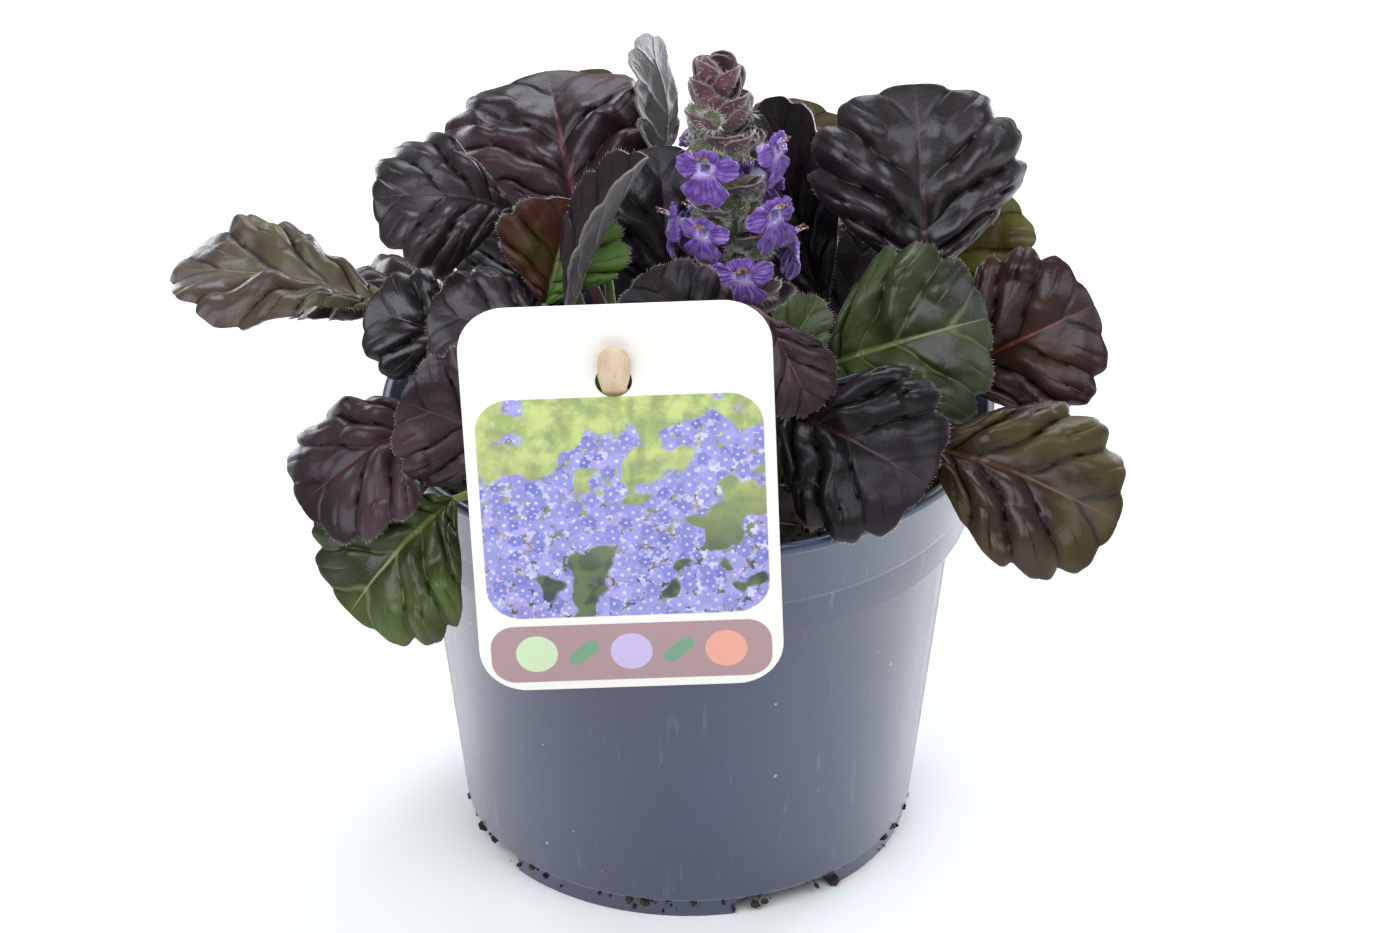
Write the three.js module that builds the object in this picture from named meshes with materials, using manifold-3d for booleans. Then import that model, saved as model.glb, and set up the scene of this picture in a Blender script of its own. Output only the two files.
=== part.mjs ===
// Potted bugleweed: a scalloped, purple-black leaf rosette with one flower spike, in a round
// nursery pot with a label card on a wooden stake. Millimetres, +Z up, origin at the middle of
// the foot, +X to the right and -Y to the front.
import * as THREE from 'three';
import { mergeVertices } from 'three/addons/utils/BufferGeometryUtils.js';
import Module from 'manifold-3d';

const wasm = await Module();
wasm.setup();

// Gap kept between pieces that touch, and the weld distance for shared vertices
const GAP = 0.3;
const WELD = 1e-4;

// Pot: outer radii and heights of the tapered body and its stepped collar
const POT = {
  sides: 36,
  wall: 1.4,
  foot: { radius: 47.7, height: 4, wall: 3 },
  step: { radius: 48.8, height: 4.8 },
  waist: { radius: 56.6, height: 75.6 },
  collar: { radius: 59.9, height: 76 },
  band: { radius: 61.4, height: 84.2, step: 0.5 },
  lip: { radius: 64.1, height: 97.6 },
  rim: { radius: 65, height: 100, chamfer: 0.4, wall: 2 },
  floor: { bottom: 4, thickness: 1.6 },
  shoulder: 1,
};
const FOOT_NOTCHES = { count: 4, width: 23, depth: 12, height: 3.6, firstDegrees: -64 };
const DRAIN_HOLES = { count: 6, radius: 4, circle: 32, sides: 8 };
const BOSS = { radius: 12, height: 5, sides: 16 };

// Soil: a low mound that stops short of the rim
const SOIL = { top: 92, crown: 94.5, crownRadius: 34, clearance: 0.8, sides: 24 };
const ROOT_DEPTH = 8;
const SOIL_HOLE = { height: 14, sides: 5 };

// Label card and its stake
const CARD = {
  width: 61, height: 87, thickness: 0.6, corner: 9.5, swing: 2.3, segments: 5,
  middle: new THREE.Vector3(-12.6, -68.2, 114.7),
  hole: { radius: 3.6, belowTop: 16.8, left: 0.6 },
};
const STAKE = {
  width: 4.6, thickness: 1, x: -14.2, steps: 11,
  neck: 0.82, head: 0.9, flare: 0.35, rounding: 0.8,
};
const STAKE_PATH = [
  [-53.5, 82], [-55, 92], [-58, 108], [-61.8, 124],
  [-65.2, 134.5], [-68.6, 142], [-70.6, 147.5], [-71.4, 150],
];
const STAKE_SLOT = { width: 5.6, depth: 3.4, height: 14, lean: 0.12, y: -54.4, z: 88.6 };

// Leaf blades: veins a side, notch depth at the margin, how the veins bow, how far the bulges
// between them stand up, and what shapes the outline and spaces the vein feet on the midrib
const BLADE = {
  veins: 5.5, notch: 0.12, thickness: 0.8, bow: -0.03, lobeSpan: 0.42, pucker: 0.065,
  shoulder: 0.35, shoulderEnd: 0.5, marginPower: 0.8, tipPower: 0.75, bulgePower: 0.8, bulgeSpan: 0.85,
  ribStart: 0.3, ribPower: 3, waves: 1.5, waveShift: 1.3,
};

// Petioles: mesh density, room in the soil, how far up the blade they run, how deep they sit
// under it, their taper, and the lengths of the two arms that bend them
const PETIOLE = {
  sides: 4, steps: 5, gapInSoil: 0.7, sunk: 0.1, depth: 0.3, taper: 0.45,
  collar: 2, climb: 0.4, approach: 0.35, rise: 0.6,
};

// Each leaf: foot on the soil [x, y], blade base and tip, the way its upper side faces, blade
// width, columns a side, petiole radius, and its bends. arch lifts the middle, cup raises the
// margins, fold closes the blade on its midrib, roll turns the margin down, flutter waves it.
const LEAVES = [
  { name: 'leaf_far_left', foot: [-26, 6], base: [-63, 9, 117], tip: [-109, 17, 121],
    face: [0, -0.1, 1], width: 36, columns: 2, stalk: 1.5,
    arch: 0.06, cup: 0.08, roll: 0.1, flutter: 0.2, phase: 0.1, color: 0x4a4640 },
  { name: 'leaf_left_upper', foot: [-20, 1], base: [-36.5, 4.3, 142], tip: [-64.5, -2.7, 148],
    face: [-0.15, -0.55, 0.8], width: 33, columns: 2, stalk: 1.4,
    arch: 0.12, cup: -0.1, roll: 0.25, flutter: 0.18, phase: 0.4, color: 0x2e2730 },
  { name: 'leaf_back_left_big', foot: [-14, 12], base: [-23, 17, 129], tip: [-30.5, 52, 151],
    face: [0, -0.55, 0.83], width: 53, columns: 3, stalk: 1.5,
    arch: 0.1, cup: -0.08, roll: 0.15, flutter: 0.08, phase: 0.2, color: 0x30272f },
  { name: 'leaf_back_edge_on', foot: [-5, 20], base: [-7, 30, 139], tip: [-10, 36, 167],
    face: [-0.88, 0.4, 0.2], width: 24, columns: 2, veins: 4.5, stalk: 1.2,
    arch: -0.13, cup: 0.1, roll: 0, flutter: 0.14, phase: 0.6, color: 0x5a5458 },
  { name: 'leaf_young_backlit', foot: [-16, -4], base: [-29.5, -8, 126.5], tip: [-23.5, -1.5, 147],
    face: [0.2, -0.65, 0.7], width: 29, columns: 2, veins: 4.5, stalk: 1.1,
    arch: 0.02, cup: 0.1, roll: 0, flutter: 0.06, phase: 0.3, color: 0x4c4030 },
  { name: 'leaf_folded_spear', foot: [-10, -9], base: [-25, -10, 126], tip: [-8, -12, 162],
    face: [-0.92, -0.2, 0.35], width: 15, columns: 2, veins: 4.5, stalk: 1.2,
    arch: 0.03, fold: 0.9, cup: 0, roll: 0, flutter: 0.03, phase: 0, color: 0x3a3438 },
  { name: 'leaf_inner_left', foot: [-24, -14], base: [-28, -18, 122], tip: [-53, -17, 129],
    face: [0, -0.6, 0.8], width: 28, columns: 2, veins: 4.5, stalk: 1.2,
    arch: 0.08, cup: -0.1, roll: 0.1, flutter: 0.05, phase: 0.5, color: 0x241f28 },
  { name: 'leaf_left_low', foot: [-30, -3], base: [-44, -2, 112], tip: [-67, 0, 121],
    face: [-0.3, -0.6, 0.7], width: 25, columns: 2, veins: 4.5, stalk: 1.2,
    arch: 0.1, cup: -0.1, roll: 0.1, flutter: 0.05, phase: 0.1, color: 0x252129 },
  { name: 'leaf_left_droop', foot: [-30, -20], base: [-48, -34, 113.7], tip: [-78, -47, 100.7],
    face: [-0.3, -0.45, 0.83], width: 38, columns: 2, stalk: 1.4,
    arch: 0.12, cup: -0.12, roll: 0.1, flutter: 0.12, phase: 0.7, color: 0x453c3a },
  { name: 'leaf_left_front', foot: [-30, -29], base: [-32, -46, 114.9], tip: [-57, -50, 126.9],
    face: [-0.3, -0.85, 0.4], width: 31, columns: 2, stalk: 1.3,
    arch: 0.08, cup: -0.08, roll: 0.1, flutter: 0.05, phase: 0.2, color: 0x28222b },
  { name: 'leaf_left_green', foot: [-35, -37], base: [-47, -49, 103.5], tip: [-68, -60, 83.5],
    face: [-0.4, -0.75, 0.5], width: 40, columns: 2, stalk: 1.4,
    arch: 0.1, cup: -0.1, roll: 0.05, flutter: 0.06, phase: 0.9, color: 0x3c4a32 },
  { name: 'leaf_right_inner_tall', foot: [20, 8], base: [29, 12, 113.5], tip: [18, 26, 157.5],
    face: [-0.5, -0.8, 0.3], width: 26, columns: 2, stalk: 1.3,
    arch: 0.05, cup: 0.12, roll: 0, flutter: 0.06, phase: 0.3, color: 0x2b2a2a },
  { name: 'leaf_right_top_big', foot: [32, 4], base: [49, 3, 125], tip: [47, 18, 164],
    face: [0.08, -0.75, 0.65], width: 47, columns: 3, stalk: 1.5,
    arch: 0.12, cup: -0.12, roll: 0.15, flutter: 0.06, phase: 0.1, color: 0x30262f },
  { name: 'leaf_right_top_behind', foot: [38, 12], base: [50.4, 17, 116], tip: [67.4, 24, 136],
    face: [0.3, -0.6, 0.75], width: 29, columns: 2, veins: 4.5, stalk: 1.2,
    arch: 0.06, cup: 0.08, roll: 0, flutter: 0.06, phase: 0.4, color: 0x4d4632 },
  { name: 'leaf_right_green', foot: [26, -9], base: [27, -15, 115], tip: [61, -23, 131],
    face: [-0.1, -0.82, 0.57], width: 41, columns: 3, stalk: 1.4,
    arch: 0.1, cup: -0.12, roll: 0.1, flutter: 0.06, phase: 0.6, color: 0x33422f },
  { name: 'leaf_right_red_brown', foot: [38, -2], base: [54, -4, 107], tip: [84, -8, 126],
    face: [0.1, -0.8, 0.6], width: 38, columns: 2, stalk: 1.4,
    arch: 0.08, cup: -0.1, roll: 0.1, flutter: 0.06, phase: 0.8, color: 0x3f332f },
  { name: 'leaf_right_olive_low', foot: [36, -22], base: [47, -37, 110], tip: [87, -47, 97],
    face: [0.15, -0.7, 0.7], width: 39, columns: 3, stalk: 1.5,
    arch: 0.1, cup: -0.1, roll: 0.1, flutter: 0.06, phase: 0.35, color: 0x433d33 },
  { name: 'leaf_front_right', foot: [18, -26], base: [18, -35, 117], tip: [48, -56, 111],
    face: [-0.1, -0.72, 0.69], width: 40, columns: 3, stalk: 1.4,
    arch: 0.12, cup: -0.12, roll: 0.12, flutter: 0.08, phase: 0.5, color: 0x2d252f },
  { name: 'leaf_front_small', foot: [10, -24], base: [16, -38, 139], tip: [25, -46, 122],
    face: [0.2, -0.85, 0.5], width: 18, columns: 2, veins: 4.5, stalk: 1,
    arch: 0.05, cup: -0.1, roll: 0.05, flutter: 0.02, phase: 0, color: 0x372c38 },
  { name: 'leaf_behind_card', foot: [0, -17], base: [6, -24, 117], tip: [-8.5, -18, 139],
    face: [-0.1, -0.8, 0.6], width: 26, columns: 2, stalk: 1.2,
    arch: 0.04, cup: 0.05, roll: 0, flutter: 0.05, phase: 0.2, color: 0x2c252b },
  { name: 'leaf_right_small_green', foot: [22, -18], base: [17, -19, 115], tip: [27, -16, 132],
    face: [0, -0.8, 0.6], width: 13, columns: 2, veins: 4.5, stalk: 0.9,
    arch: 0.05, cup: 0.1, roll: 0, flutter: 0.02, phase: 0, color: 0x3f5a35 },
  { name: 'leaf_front_small_green', foot: [8, -36], base: [6, -44, 103], tip: [16, -54, 104],
    face: [0, -0.6, 0.8], width: 12, columns: 2, veins: 4.5, stalk: 0.9,
    arch: 0.08, cup: 0, roll: 0, flutter: 0.02, phase: 0.5, color: 0x4a6638 },
  { name: 'leaf_right_edge', foot: [44, -10], base: [62, -23, 103], tip: [86, -29, 99],
    face: [0.2, -0.3, 0.95], width: 24, columns: 2, veins: 4.5, stalk: 1.2,
    arch: 0.08, cup: -0.1, roll: 0.05, flutter: 0.05, phase: 0.1, color: 0x2f282e },
  { name: 'leaf_back_olive', foot: [-16, 24], base: [-19, 44, 124], tip: [-21, 66, 145],
    face: [0, -0.5, 0.85], width: 24, columns: 2, veins: 4.5, stalk: 1.2,
    arch: 0.06, cup: 0.05, roll: 0, flutter: 0.05, phase: 0.3, color: 0x4b4a38 },
  { name: 'leaf_back_grey', foot: [12, 22], base: [19, 30, 126], tip: [25, 44, 148],
    face: [0.1, -0.6, 0.8], width: 27, columns: 2, veins: 4.5, stalk: 1.1,
    arch: 0.06, cup: 0.05, roll: 0, flutter: 0.05, phase: 0.6, color: 0x4a4a42 },
  { name: 'leaf_behind_spike', foot: [3, 12], base: [-2.5, 9, 115], tip: [-6, 24.5, 146.5],
    face: [-0.1, -0.75, 0.65], width: 33, columns: 2, stalk: 1.2,
    arch: 0.08, cup: -0.05, roll: 0.05, flutter: 0.06, phase: 0.8, color: 0x2a232a },
  { name: 'leaf_low_left', foot: [-33, 12], base: [-33, 17, 104], tip: [-35, 34, 124],
    face: [-0.2, -0.7, 0.7], width: 34, columns: 2, stalk: 1.2,
    arch: 0.08, cup: -0.05, roll: 0.05, flutter: 0.06, phase: 0.1, color: 0x2a242b },
  { name: 'leaf_low_right', foot: [28, 16], base: [32, 14, 103], tip: [38, 28, 122],
    face: [0.1, -0.7, 0.7], width: 28, columns: 2, stalk: 1.2,
    arch: 0.08, cup: -0.05, roll: 0.05, flutter: 0.06, phase: 0.5, color: 0x2b2a29 },
  { name: 'leaf_card_middle', foot: [-2, -32], base: [0, -36, 107], tip: [3, -60, 113],
    face: [0, -0.3, 1], width: 30, columns: 2, stalk: 1.2,
    arch: 0.08, cup: -0.06, roll: 0.05, flutter: 0.05, phase: 0.2, color: 0x2c2630 },
  { name: 'leaf_card_left', foot: [-14, -25], base: [-18, -31, 103], tip: [-23, -55, 105],
    face: [-0.1, -0.3, 1], width: 21, columns: 2, stalk: 1.2,
    arch: 0.08, cup: -0.06, roll: 0.05, flutter: 0.05, phase: 0.4, color: 0x2c2630 },
  { name: 'leaf_back_inner', foot: [6, 30], base: [7, 36, 106], tip: [10, 56, 126],
    face: [0.05, -0.5, 0.85], width: 38, columns: 2, stalk: 1.3,
    arch: 0.08, cup: -0.05, roll: 0.05, flutter: 0.06, phase: 0.6, color: 0x2c272b },
  { name: 'leaf_back_far_left', foot: [-30, 20], base: [-47, 31, 108], tip: [-84, 46, 98],
    face: [-0.25, 0.25, 0.9], width: 42, columns: 2, stalk: 1.4,
    arch: 0.12, cup: -0.1, roll: 0.1, flutter: 0.06, phase: 0.4, color: 0x33302f },
  { name: 'leaf_back_left', foot: [-24, 34], base: [-30, 47, 111], tip: [-54, 84, 104],
    face: [-0.15, 0.3, 0.9], width: 45, columns: 2, stalk: 1.4,
    arch: 0.12, cup: -0.1, roll: 0.1, flutter: 0.06, phase: 0.1, color: 0x30282f },
  { name: 'leaf_back_middle', foot: [-2, 34], base: [-1, 48, 111], tip: [-3, 90, 104],
    face: [0, 0.3, 0.95], width: 45, columns: 2, stalk: 1.4,
    arch: 0.12, cup: -0.1, roll: 0.1, flutter: 0.06, phase: 0.7, color: 0x2e2a2d },
  { name: 'leaf_back_right', foot: [20, 32], base: [27, 45, 112], tip: [49, 83, 104],
    face: [0.15, 0.3, 0.9], width: 45, columns: 2, stalk: 1.4,
    arch: 0.12, cup: -0.1, roll: 0.1, flutter: 0.06, phase: 0.3, color: 0x36302c },
  { name: 'leaf_back_far_right', foot: [34, 24], base: [51, 30, 106], tip: [87, 44, 98],
    face: [0.25, 0.2, 0.9], width: 42, columns: 2, stalk: 1.4,
    arch: 0.12, cup: -0.1, roll: 0.1, flutter: 0.06, phase: 0.9, color: 0x312a31 },
];

// Flower spike: a square stem with opposite pairs of bracts, each pair a quarter turn from the
// last, and woolly calyces in their axils. The pairs get closer and smaller towards the tip.
const SPIKE = {
  foot: [14, -4, 84],
  tip: [5.6, 2, 171],
  lean: 1.2,
  seed: 7,
  stem: { radius: 2.1, taper: 0.4, steps: 8, gapInSoil: 1.6 },
  pairs: { count: 13, low: 121, high: 169.5, crowding: 1.6, jitter: 0.3 },
  bract: {
    thickness: 0.8, veins: 1.5, columns: 1, lobeSpan: 0, arch: -0.18, cup: 0.5,
    length: [12.5, 9.2], width: [9, 8.2], rise: [0.15, 1.15], riseEase: 1.5, inset: 0.8,
  },
  calyx: {
    length: 7, mouth: 2.4, root: 1.2, sides: 4, inset: 0.6, rise: 0.3, lift: 2.6, spread: 0.6, pairs: 6,
  },
  crowded: { height: 6.5, cosine: 0.75, ahead: 4, shorter: 0.65 },
};

// Open florets: height on the stem, direction round it in degrees (-90 faces the front), rise
// above the level in degrees, and size
const FLORETS = [
  { height: 156, around: -107, rise: 14, size: 1.15 },
  { height: 157, around: -25, rise: 14, size: 1.05 },
  { height: 145, around: -44, rise: 10, size: 1.15 },
  { height: 139.5, around: -178, rise: 10, size: 1.1 },
  { height: 143, around: -118, rise: 6, size: 0.95 },
  { height: 136, around: -84, rise: 0, size: 1.2 },
  { height: 153, around: 110, rise: 12, size: 1.05 },
  { height: 145, around: 60, rise: 8, size: 1.15 },
  { height: 134, around: 20, rise: 6, size: 1.1 },
  { height: 137, around: 130, rise: 4, size: 1.05 },
];
const FLORET = { tube: 4.6, throat: 1.5, root: 0.8, sides: 4, thickness: 0.7, curl: 0.04 };

// A small seeded generator, so that the jitter of bracts and buds is the same on every run
const LEHMER = { factor: 16807, modulus: 2147483647 };

const vec = (p) => new THREE.Vector3(p[0], p[1], p[2]);
const smooth = (low, high, value) => THREE.MathUtils.smoothstep(value, low, high);
const between = ([low, high], share) => THREE.MathUtils.lerp(low, high, share);

// Closed geometry in, manifold solid out
function solid(geometry) {
  const bare = geometry.index ? geometry.clone() : geometry;
  for (const name of ['normal', 'uv', 'color']) bare.deleteAttribute(name);
  const merged = mergeVertices(bare, WELD);
  return new wasm.Manifold(new wasm.Mesh({
    numProp: 3,
    vertProperties: new Float32Array(merged.attributes.position.array),
    triVerts: new Uint32Array(merged.index.array),
  }));
}

function geometryOf(body) {
  const mesh = body.getMesh();
  const geometry = new THREE.BufferGeometry();
  geometry.setAttribute('position', new THREE.BufferAttribute(mesh.vertProperties, 3));
  geometry.setIndex(new THREE.BufferAttribute(mesh.triVerts, 1));
  geometry.computeVertexNormals();
  return geometry;
}

const join = (bodies) => bodies.reduce((whole, body) => whole.add(body));

function finish(color, roughness, metalness = 0) {
  return new THREE.MeshStandardMaterial({ color, roughness, metalness, side: THREE.FrontSide });
}

function mesh(name, geometry, material) {
  const piece = new THREE.Mesh(geometry, material);
  piece.name = name;
  return piece;
}

// A solid skinned over rings of equal size, with flat fans on its two ends
function loft(rings) {
  const sides = rings[0].length;
  const points = rings.flat();
  const index = [];
  for (let ring = 0; ring + 1 < rings.length; ring += 1) {
    for (let side = 0; side < sides; side += 1) {
      const a = ring * sides + side;
      const b = ring * sides + ((side + 1) % sides);
      index.push(a, b, b + sides, a, b + sides, a + sides);
    }
  }
  const last = (rings.length - 1) * sides;
  for (let side = 1; side + 1 < sides; side += 1) {
    index.push(0, side + 1, side);
    index.push(last, last + side, last + side + 1);
  }
  const geometry = new THREE.BufferGeometry().setFromPoints(points);
  geometry.setIndex(index);
  return geometry;
}

// A tapering stalk along a curve, as a loft of regular rings
function stalk(curve, steps, sides, radiusAt) {
  const frames = curve.computeFrenetFrames(steps, false);
  const rings = [];
  for (let step = 0; step <= steps; step += 1) {
    const centre = curve.getPointAt(step / steps);
    const radius = radiusAt(step / steps);
    const ring = [];
    for (let side = 0; side < sides; side += 1) {
      const angle = (2 * Math.PI * side) / sides;
      ring.push(centre.clone()
        .addScaledVector(frames.normals[step], radius * Math.cos(angle))
        .addScaledVector(frames.binormals[step], radius * Math.sin(angle)));
    }
    rings.push(ring);
  }
  return loft(rings);
}

// Turns an open sheet of points into a plate: both faces share the same triangles
function plate(points, triangles, rim, thickness) {
  const sheet = new THREE.BufferGeometry().setFromPoints(points);
  sheet.setIndex(triangles);
  sheet.computeVertexNormals();
  const normals = sheet.attributes.normal;
  const upper = [];
  const lower = [];
  points.forEach((point, at) => {
    const normal = new THREE.Vector3().fromBufferAttribute(normals, at);
    upper.push(point.clone().addScaledVector(normal, thickness / 2));
    lower.push(point.clone().addScaledVector(normal, -thickness / 2));
  });
  const count = points.length;
  const index = [...triangles];
  for (let at = 0; at < triangles.length; at += 3) {
    index.push(triangles[at] + count, triangles[at + 2] + count, triangles[at + 1] + count);
  }
  rim.forEach((a, at) => {
    const b = rim[(at + 1) % rim.length];
    index.push(b, a, a + count, b, a + count, b + count);
  });
  const geometry = new THREE.BufferGeometry().setFromPoints([...upper, ...lower]);
  geometry.setIndex(index);
  return geometry;
}

// The blade's own axes: along the midrib, across it, and out of its upper side
function bladeAxes(leaf) {
  const base = vec(leaf.base);
  const along = vec(leaf.tip).sub(base);
  const length = along.length();
  along.normalize();
  const up = vec(leaf.face).addScaledVector(along, -along.dot(vec(leaf.face))).normalize();
  const across = new THREE.Vector3().crossVectors(along, up);
  return { base, along, across, up, length };
}

// A point of the blade's middle surface. t runs from the base (0) to the tip (1) and s from one
// margin (-1) to the other (1); lines of even t follow the side veins.
function bladePoint(leaf, axes, t, s) {
  const side = Math.abs(s);
  const half = leaf.width / 2;
  const crest = Math.abs(Math.sin(Math.PI * (leaf.veins ?? BLADE.veins) * t));
  const shoulder = BLADE.shoulder + (1 - BLADE.shoulder) * smooth(0, BLADE.shoulderEnd, t);
  const marginX = half * Math.sin(Math.PI * t) ** BLADE.marginPower * shoulder;
  const marginY = axes.length * ((1 - Math.cos(Math.PI * t)) / 2) ** BLADE.tipPower;
  const ribY = axes.length * THREE.MathUtils.lerp(t ** BLADE.ribPower, t, BLADE.ribStart);
  const reach = side * (1 - BLADE.notch * (1 - crest) * side ** 2);
  const x = Math.sign(s) * marginX * reach;
  const bow = BLADE.bow * axes.length * Math.sin(Math.PI * t) * Math.sin(Math.PI * side);
  const y = ribY + (marginY - ribY) * reach - bow;
  const run = y / axes.length;
  const spread = x / half;
  const bulge = (leaf.pucker ?? BLADE.pucker) * leaf.width * crest
    * Math.sin(Math.PI * BLADE.bulgeSpan * side ** BLADE.bulgePower) * Math.sin(Math.PI * t) ** 0.5;
  const wave = Math.sin(2 * Math.PI * (BLADE.waves * t + leaf.phase) + BLADE.waveShift * Math.sign(s));
  const fold = ((leaf.fold ?? 0) - leaf.roll * side ** 4) * Math.abs(spread);
  const lift = leaf.arch * axes.length * 4 * run * (1 - run)
    + half * (leaf.cup * spread ** 2 + fold + leaf.flutter * wave * spread ** 2) + bulge;
  return axes.base.clone()
    .addScaledVector(axes.along, y)
    .addScaledVector(axes.across, x)
    .addScaledVector(axes.up, lift);
}

// The blade as a plate. Rows follow the veins and the bulges between them; on a bulge the margin
// has two points, so that each lobe has a round end.
function bladeGeometry(leaf, { columns, thickness, lobeSpan }) {
  const axes = bladeAxes(leaf);
  const rows = 2 * (leaf.veins ?? BLADE.veins);
  const inner = 2 * columns - 1;
  const points = [bladePoint(leaf, axes, 0, 0)];
  const triangles = [];
  const add = (t, s) => points.push(bladePoint(leaf, axes, t, s)) - 1;
  const lines = [];
  const margins = { [-1]: [], [1]: [] };
  for (let row = 1; row < rows; row += 1) {
    const line = [];
    for (let column = 1; column <= inner; column += 1) {
      line.push(add(row / rows, column / columns - 1));
    }
    lines.push(line);
    const lobe = lobeSpan > 0 && row % 2 === 1;
    for (const side of [-1, 1]) {
      const shares = lobe ? [row - lobeSpan, row + lobeSpan] : [row];
      margins[side].push(shares.map((share) => add(share / rows, side)));
    }
  }
  const tip = add(1, 0);
  const tipLobe = { [-1]: [], [1]: [] };
  for (const side of [-1, 1]) {
    if (lobeSpan > 0) tipLobe[side].push(add((rows - lobeSpan) / rows, side));
  }
  const face = (side, a, b, c) => triangles.push(...(side > 0 ? [a, b, c] : [a, c, b]));
  for (let row = 0; row < lines.length; row += 1) {
    const next = lines[row + 1];
    for (let column = 0; next && column + 1 < inner; column += 1) {
      const [a, b, c, d] = [lines[row][column], lines[row][column + 1], next[column + 1], next[column]];
      triangles.push(...(column < columns - 1 ? [a, b, c, a, c, d] : [a, b, d, b, c, d]));
    }
    for (const side of [-1, 1]) {
      const edge = side > 0 ? inner - 1 : 0;
      const own = margins[side][row];
      for (let at = 0; at + 1 < own.length; at += 1) {
        face(side, lines[row][edge], own[at], own[at + 1]);
      }
      if (next) {
        const ahead = margins[side][row + 1][0];
        face(side, lines[row][edge], own.at(-1), ahead);
        face(side, lines[row][edge], ahead, next[edge]);
      }
    }
  }
  for (const side of [-1, 1]) {
    const edge = side > 0 ? inner - 1 : 0;
    face(side, 0, margins[side][0][0], lines[0][edge]);
    const outer = [margins[side].at(-1).at(-1), ...tipLobe[side]];
    for (let at = 0; at + 1 < outer.length; at += 1) {
      face(side, lines.at(-1)[edge], outer[at], outer[at + 1]);
    }
    face(side, lines.at(-1)[edge], outer.at(-1), tip);
  }
  for (let column = 0; column + 1 < inner; column += 1) {
    triangles.push(0, lines[0][column + 1], lines[0][column]);
    triangles.push(tip, lines.at(-1)[column], lines.at(-1)[column + 1]);
  }
  const rim = [0, ...margins[1].flat(), ...tipLobe[1], tip,
    ...[...margins[-1].flat(), ...tipLobe[-1]].reverse()];
  return plate(points, triangles, rim, thickness);
}

// The petiole rises straight out of the soil, arches to the blade and runs on as its midrib
function petioleCurve(leaf) {
  const axes = bladeAxes(leaf);
  const [x, y] = leaf.foot;
  const root = new THREE.Vector3(x, y, SOIL.top - ROOT_DEPTH);
  const collar = new THREE.Vector3(x, y, SOIL.crown + PETIOLE.collar);
  const reach = collar.distanceTo(axes.base);
  const arrival = axes.along.clone().add(new THREE.Vector3(0, 0, PETIOLE.rise)).normalize();
  const path = new THREE.CurvePath();
  path.add(new THREE.LineCurve3(root, collar));
  path.add(new THREE.CubicBezierCurve3(
    collar,
    collar.clone().add(new THREE.Vector3(0, 0, PETIOLE.climb * reach)),
    axes.base.clone().addScaledVector(arrival, -PETIOLE.approach * reach),
    axes.base,
  ));
  return { path, axes };
}

function leafSolid(leaf) {
  const blade = solid(bladeGeometry(leaf, { ...BLADE, columns: leaf.columns }));
  const { path, axes } = petioleCurve(leaf);
  const points = [];
  for (let step = 0; step <= PETIOLE.steps; step += 1) {
    points.push(path.getPointAt(step / PETIOLE.steps));
  }
  const end = bladePoint(leaf, axes, PETIOLE.sunk, 0);
  points.push(end.addScaledVector(axes.up, -PETIOLE.depth));
  const curve = new THREE.CatmullRomCurve3(points);
  const radiusAt = (t) => leaf.stalk * (1 - PETIOLE.taper * t ** 2);
  return blade.add(solid(stalk(curve, PETIOLE.steps, PETIOLE.sides, radiusAt)));
}

// An upright cylinder standing on the given height
function column(radius, bottom, height, sides) {
  const upright = new THREE.CylinderGeometry(radius, radius, height, sides).rotateX(Math.PI / 2);
  return upright.translate(0, 0, bottom + height / 2);
}

// The pot's shell, a boss under its floor, the notches in its foot ring and its drain holes
function potSolid() {
  const { wall, foot, step, waist, collar, band, lip, rim, floor, shoulder } = POT;
  const inside = floor.bottom + floor.thickness;
  const outline = [
    [0, floor.bottom], [foot.radius - foot.wall, floor.bottom], [foot.radius - foot.wall, 0],
    [foot.radius, 0], [foot.radius, foot.height], [step.radius, step.height],
    [waist.radius, waist.height], [collar.radius, collar.height],
    [band.radius - band.step, band.height], [band.radius, band.height + band.step],
    [lip.radius, lip.height], [rim.radius, lip.height + band.step],
    [rim.radius - rim.chamfer, rim.height], [rim.radius - rim.wall, rim.height],
    [collar.radius - wall, collar.height + shoulder], [waist.radius - wall, waist.height - shoulder],
    [step.radius - wall, inside], [0, inside],
  ].map(([radius, height]) => new THREE.Vector2(radius, height));
  let pot = solid(new THREE.LatheGeometry(outline, POT.sides).rotateX(Math.PI / 2));
  pot = pot.add(solid(column(BOSS.radius, 0, BOSS.height, BOSS.sides)));
  for (let at = 0; at < FOOT_NOTCHES.count; at += 1) {
    const { count, width, depth, height, firstDegrees } = FOOT_NOTCHES;
    const notch = new THREE.BoxGeometry(depth, width, 2 * height).translate(foot.radius, 0, 0);
    notch.rotateZ(THREE.MathUtils.degToRad(firstDegrees + (360 * at) / count));
    pot = pot.subtract(solid(notch));
  }
  for (let at = 0; at < DRAIN_HOLES.count; at += 1) {
    const { count, radius, circle, sides } = DRAIN_HOLES;
    const hole = column(radius, 0, 2 * inside, sides).translate(circle, 0, 0);
    pot = pot.subtract(solid(hole.rotateZ((2 * Math.PI * at) / count)));
  }
  return pot;
}

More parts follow.
